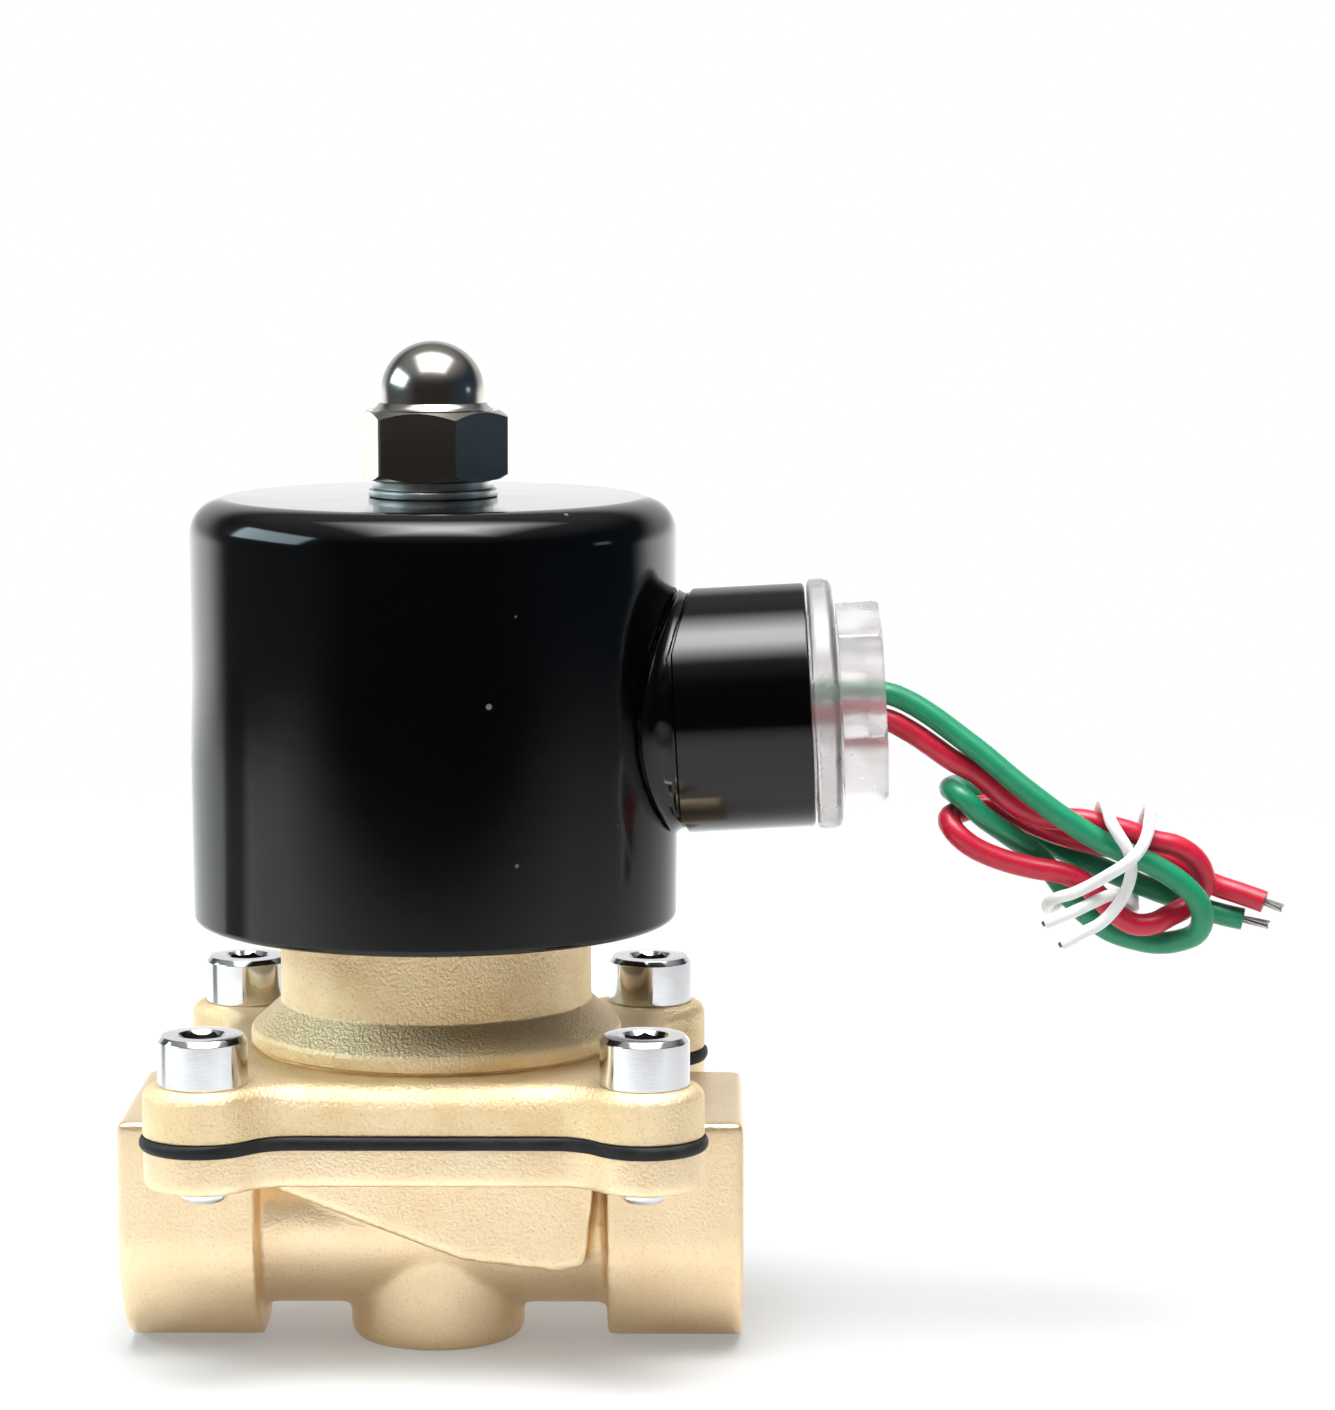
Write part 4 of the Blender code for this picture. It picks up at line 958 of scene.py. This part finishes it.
def make_nut():
    """The dome nut: a chamfered hexagon, a narrow collar and a ball-ended dome."""
    low, high = NUT_Z
    bar = hex_bar("bar", NUT_CORNER_RADIUS, low * MM, high * MM, math.radians(-10.0), 0.55 * MM)
    turning = in_mm([(0.5, low), (7.2, low), (8.3, low + 0.70), (8.3, high - 0.85), (7.0, high),
                     (0.5, high)])
    nut = combined(bar, [turned("turning", turning, 128)], "INTERSECT", "EXACT")
    ball = high + 1.6
    dome = [(0.5, high - 1), (DOME_RADIUS, high - 1), *arc((0, ball), DOME_RADIUS, 0, 88, 22)]
    collar = [(0.5, high - 0.5), (6.35, high - 0.5), (6.35, high + 0.12), (5.95, high + 0.35),
              (5.62, high + 0.8), (0.5, high + 0.8)]
    tops = [turned("dome", in_mm(dome), 128), turned("collar", in_mm(collar), 128)]
    nut = combined(nut, tops, "UNION", "EXACT")
    bore = prism("bore", 4.05 * MM, (low - 1) * MM, 101 * MM)
    obj = placed("nut", combined(nut, [bore], "DIFFERENCE", "EXACT"))
    bevel = obj.modifiers.new("soft_edges", "BEVEL")
    bevel.width = 0.22 * MM
    bevel.segments = 2
    bevel.limit_method = "ANGLE"
    bevel.angle_limit = math.radians(24)
    piece("dome_nut", evaluated(obj), "nut_nickel", "housing", "acorn_nut", 26)


def make_washers():
    """A flat washer, and a split one whose ends stand a little apart."""
    flat = in_mm([(4.3, 89.92), (6.8, 89.92), (6.8, 90.70), (4.3, 90.70)])
    flat = turned("flat", rounded(flat, 0.22 * MM, 3, True), 128, True)
    piece("plain_washer", flat, "washer_zinc", "housing", "flat_washer", 30)
    section = in_mm([(4.3, -0.46), (6.35, -0.46), (6.35, 0.46), (4.3, 0.46)])
    section = rounded(section, 0.2 * MM, 3, True)
    rows, steps, split_at, gap = [], 120, math.radians(134), 0.16
    for i in range(steps + 1):
        turn = split_at + (math.tau - gap) * i / steps
        z = 91.24 * MM + 0.07 * MM * (i / steps - 0.5)
        rows.append([(r * math.cos(turn), r * math.sin(turn), z + height) for r, height in section])
    piece("split_washer", grid_mesh("split", rows), "washer_zinc", "housing", "spring_washer", 30)


make_can()
make_hub()
make_bushing()
make_nut()
make_washers()

# -------- inside pieces, each with a mesh of its own

SPRING_RADIUS = 2.4 * MM
SPRING_WIRE_RADIUS = 0.28 * MM
SPRING_Z = (46.65 * MM, 56.95 * MM)
SPRING_TURNS = 8
WEB_HALF_THICKNESS = 0.42  # mm


def make_spring():
    """The plunger's return spring, with closed end coils."""
    low, high = SPRING_Z
    points, count = [], SPRING_TURNS * 28
    for i in range(count + 1):
        t = i / count
        angle = math.tau * SPRING_TURNS * t
        climb = share(t + 0.045 * math.sin(math.tau * t), 0.0, 1.0)
        points.append(Vector((SPRING_RADIUS * math.cos(angle), SPRING_RADIUS * math.sin(angle),
                              low + (high - low) * climb)))
    spring = tube_mesh("spring", points, [SPRING_WIRE_RADIUS] * len(points), 10)
    spring = piece("return_spring", spring, "steel", "housing", "plunger_spring", 60)
    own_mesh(spring)


def make_web():
    """The diaphragm's rolled web, in one fixed shape; the real web flattens as the seat seal lifts."""
    line = [(9.5, 22.95), (11.0, 23.1), (12.5, 23.9), (14.0, 25.2), (15.6, 25.8), (17.1, 25.8)]
    upper = in_mm([(r, z + WEB_HALF_THICKNESS) for r, z in line])
    lower = in_mm([(r, z - WEB_HALF_THICKNESS) for r, z in reversed(line)])
    web = turned("web", rounded(upper + lower, 0.5 * MM, 4, True), 128, True)
    web = piece("diaphragm_roll", web, "rubber", "housing", "diaphragm_web", 50)
    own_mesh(web)


make_spring()
make_web()

# -------- finishes of the CAD nodes that stay

FINISH = {
    "steel": ("armature_tube", "fixed_core", "diaphragm_plate", "lift_hanger", "plunger", "yoke_top_plate",
              "flux_sleeve_lower", "flux_sleeve_upper"),
    "rubber": ("tube_o_ring", "seat_seal", "plunger_seal"),
    "turned_brass": ("tube_ring_nut", "pilot_insert"),
    "copper": ("shading_ring", "winding", "magnet_wire_green", "magnet_wire_red"),
    "nylon": ("bobbin", "splice_sleeve_green", "splice_sleeve_red"),
    "tape": ("winding_tape",),
    "resin": ("potting",),
}
for look, nodes in FINISH.items():
    for node in nodes:
        materials = NODES[node].data.materials
        materials.clear()
        materials.append(LOOKS[look])

# -------- floor, light and world

FLOOR_HALF_WIDTH = 4.0
FLOOR_COLOUR = (0.62, 0.62, 0.62)
FLOOR_GLOW = 0.15  # painted light: a glow that reflections see the floor give off
WHITE = (1.0, 1.0, 1.0)
KEY_LAYERS = 9
KEY_PLACE = (0.07, -0.28, 1.2)
WARM_DARK, LEFT_GREY, RIGHT_BLUE = (0.040, 0.036, 0.030), (0.13, 0.14, 0.15), (0.036, 0.06, 0.09)
CEILING = (0.42, 0.42, 0.42)
BACKDROP_LOW, BACKDROP_HIGH = (2.2, 2.2, 2.2), (0.92, 0.92, 0.93)


def make_floor():
    """A white table that ends in a painted white glow, which already lies weakly over it beside the valve
    and lightens its shadows there. Reflections see its front and its sides fade into painted shade, as into
    a dark room, a strip of painted shade across its left side, a faint painted glow over the rest, and a
    backdrop behind its far edge."""
    paint = Paint("white_table", Roughness=0.9, Specular_IOR_Level=0.1, Base_Color=FLOOR_COLOUR)
    length = paint.node("ShaderNodeVectorMath", i0=paint.coords)
    length.operation = "LENGTH"
    distance = length.outputs["Value"]
    x, y = paint.node("ShaderNodeSeparateXYZ", Vector=paint.coords).outputs[:2]
    # Painted light: the camera sees the table mixed with a white glow, about a fifth of it beside the
    # valve, where it lightens the shadows, and all of it from 0.42 m out.
    haze = paint.node("ShaderNodeEmission")
    seen_with_painted_glow = paint.mix_shaders(paint.ramp(distance, -0.12, 0.42), paint.shader, haze)

    # Painted shade for reflections: a dark strip across the table's left side, between two bearings from
    # the valve.
    bearing = paint.math("DIVIDE", y, paint.math("MINIMUM", x, -0.05))
    painted_shade_strip = paint.times(paint.ramp(bearing, -0.40, -0.35), paint.ramp(bearing, -0.02, -0.12),
                        paint.ramp(x, -0.14, -0.20), 0.8)
    # Painted shade for reflections: the table darkens towards its front, its left edge and its right side.
    lit = paint.times(paint.ramp(y, -0.34, -0.13), paint.ramp(x, -0.53, -0.40),
                      paint.ramp(x, 0.0, 0.50, 1.0, 0.15), paint.math("SUBTRACT", 1.0, painted_shade_strip))
    # Painted light: reflections also see the table glow a little, which lightens the valve's undersides.
    glow = paint.node("ShaderNodeEmission", Strength=FLOOR_GLOW)
    with_painted_glow = paint.node("ShaderNodeAddShader", i0=paint.shader.outputs[0], i1=glow.outputs[0])
    # Where the table is unlit, reflections see a near black sheet of painted shade.
    dark = paint.node("ShaderNodeBsdfDiffuse", Color=(0.01, 0.01, 0.01))
    reflected = paint.mix_shaders(lit, dark, with_painted_glow)
    reflected = paint.mix_shaders(paint.ramp(distance, 0.45, 0.60), reflected,
                                  paint.node("ShaderNodeBsdfTransparent"))

    path = paint.node("ShaderNodeLightPath")
    surface = paint.mix_shaders(path.outputs["Is Glossy Ray"], seen_with_painted_glow, reflected)
    paint.feed(paint.tree.nodes["Material Output"].inputs["Surface"], surface.outputs[0])
    mesh = bpy.data.meshes.new("floor")
    mesh.from_pydata([(x, y, 0) for x, y in square_corners(FLOOR_HALF_WIDTH)], [], [(0, 1, 2, 3)])
    mesh.materials.append(paint.material)
    placed("floor", mesh)


def softbox(name, place, size, radiance, colour=WHITE, overhead=False):
    """A rectangular light set by the brightness of its face, which faces the valve, or straight down."""
    data = bpy.data.lights.new(name, "AREA")
    data.shape = "RECTANGLE"
    data.size, data.size_y = size
    data.energy = radiance * math.pi * size[0] * size[1]
    data.color = colour
    light = placed(name, data)
    light.location = place
    if not overhead:
        light.rotation_mode = "QUATERNION"
        light.rotation_quaternion = (Vector((0, 0, 0.05)) - light.location).to_track_quat("-Z", "Y")


def make_lights():
    """Two windows, and an overhead light in layers, each wider and weaker than the one below it,
    so that its edges fade."""
    x, y, z = KEY_PLACE
    for layer in range(KEY_LAYERS):
        width = 0.30 + 0.13 * layer
        softbox(f"key_{layer}", (x, y, z + 0.003 * layer), (width, 0.95 * width), 3.1 - 0.28 * layer,
                overhead=True)
    softbox("left_window", (-1.14, -0.10, 0.65), (1.0, 0.46), 7.0, (0.72, 0.92, 1.0))
    softbox("right_window", (1.27, -0.04, 0.26), (0.20, 0.12), 2.0, (0.70, 0.95, 1.0))


def make_world():
    """A backdrop behind and a dark room in front, which only reflections see. The camera sees white."""
    world = bpy.data.worlds.new("studio")
    bpy.context.scene.world = world
    world.use_nodes = True
    world.node_tree.nodes.clear()
    nodes = Nodes(world.node_tree)
    way = nodes.node("ShaderNodeTexCoord").outputs["Generated"]
    x, y, z = nodes.node("ShaderNodeSeparateXYZ", Vector=way).outputs

    def step(value, low, high):
        return nodes.ramp(value, low, high, smooth=True)

    room = nodes.mix(step(nodes.times(x, -1.0), 0.55, 0.90), WARM_DARK, LEFT_GREY)
    room = nodes.mix(step(x, 0.55, 0.90), room, RIGHT_BLUE)
    room = nodes.mix(step(z, 0.45, 0.85), room, CEILING)
    backdrop = nodes.mix(step(z, -0.06, 0.18), BACKDROP_LOW, BACKDROP_HIGH)
    edge = nodes.math("ADD", 0.40, nodes.times(nodes.math("MAXIMUM", z, 0.0), 0.6))
    behind = step(nodes.math("SUBTRACT", y, edge), -0.10, 0.22)
    studio = nodes.node("ShaderNodeBackground", Color=nodes.mix(behind, room, backdrop))
    plain = nodes.node("ShaderNodeBackground", Color=WHITE)
    path = nodes.node("ShaderNodeLightPath").outputs
    straight = nodes.math("MAXIMUM", path["Is Camera Ray"], path["Is Transmission Ray"])
    nodes.node("ShaderNodeOutputWorld", Surface=nodes.mix_shaders(straight, studio, plain).outputs[0])


make_floor()
make_world()
make_lights()
bpy.context.scene.view_settings.view_transform = "Standard"
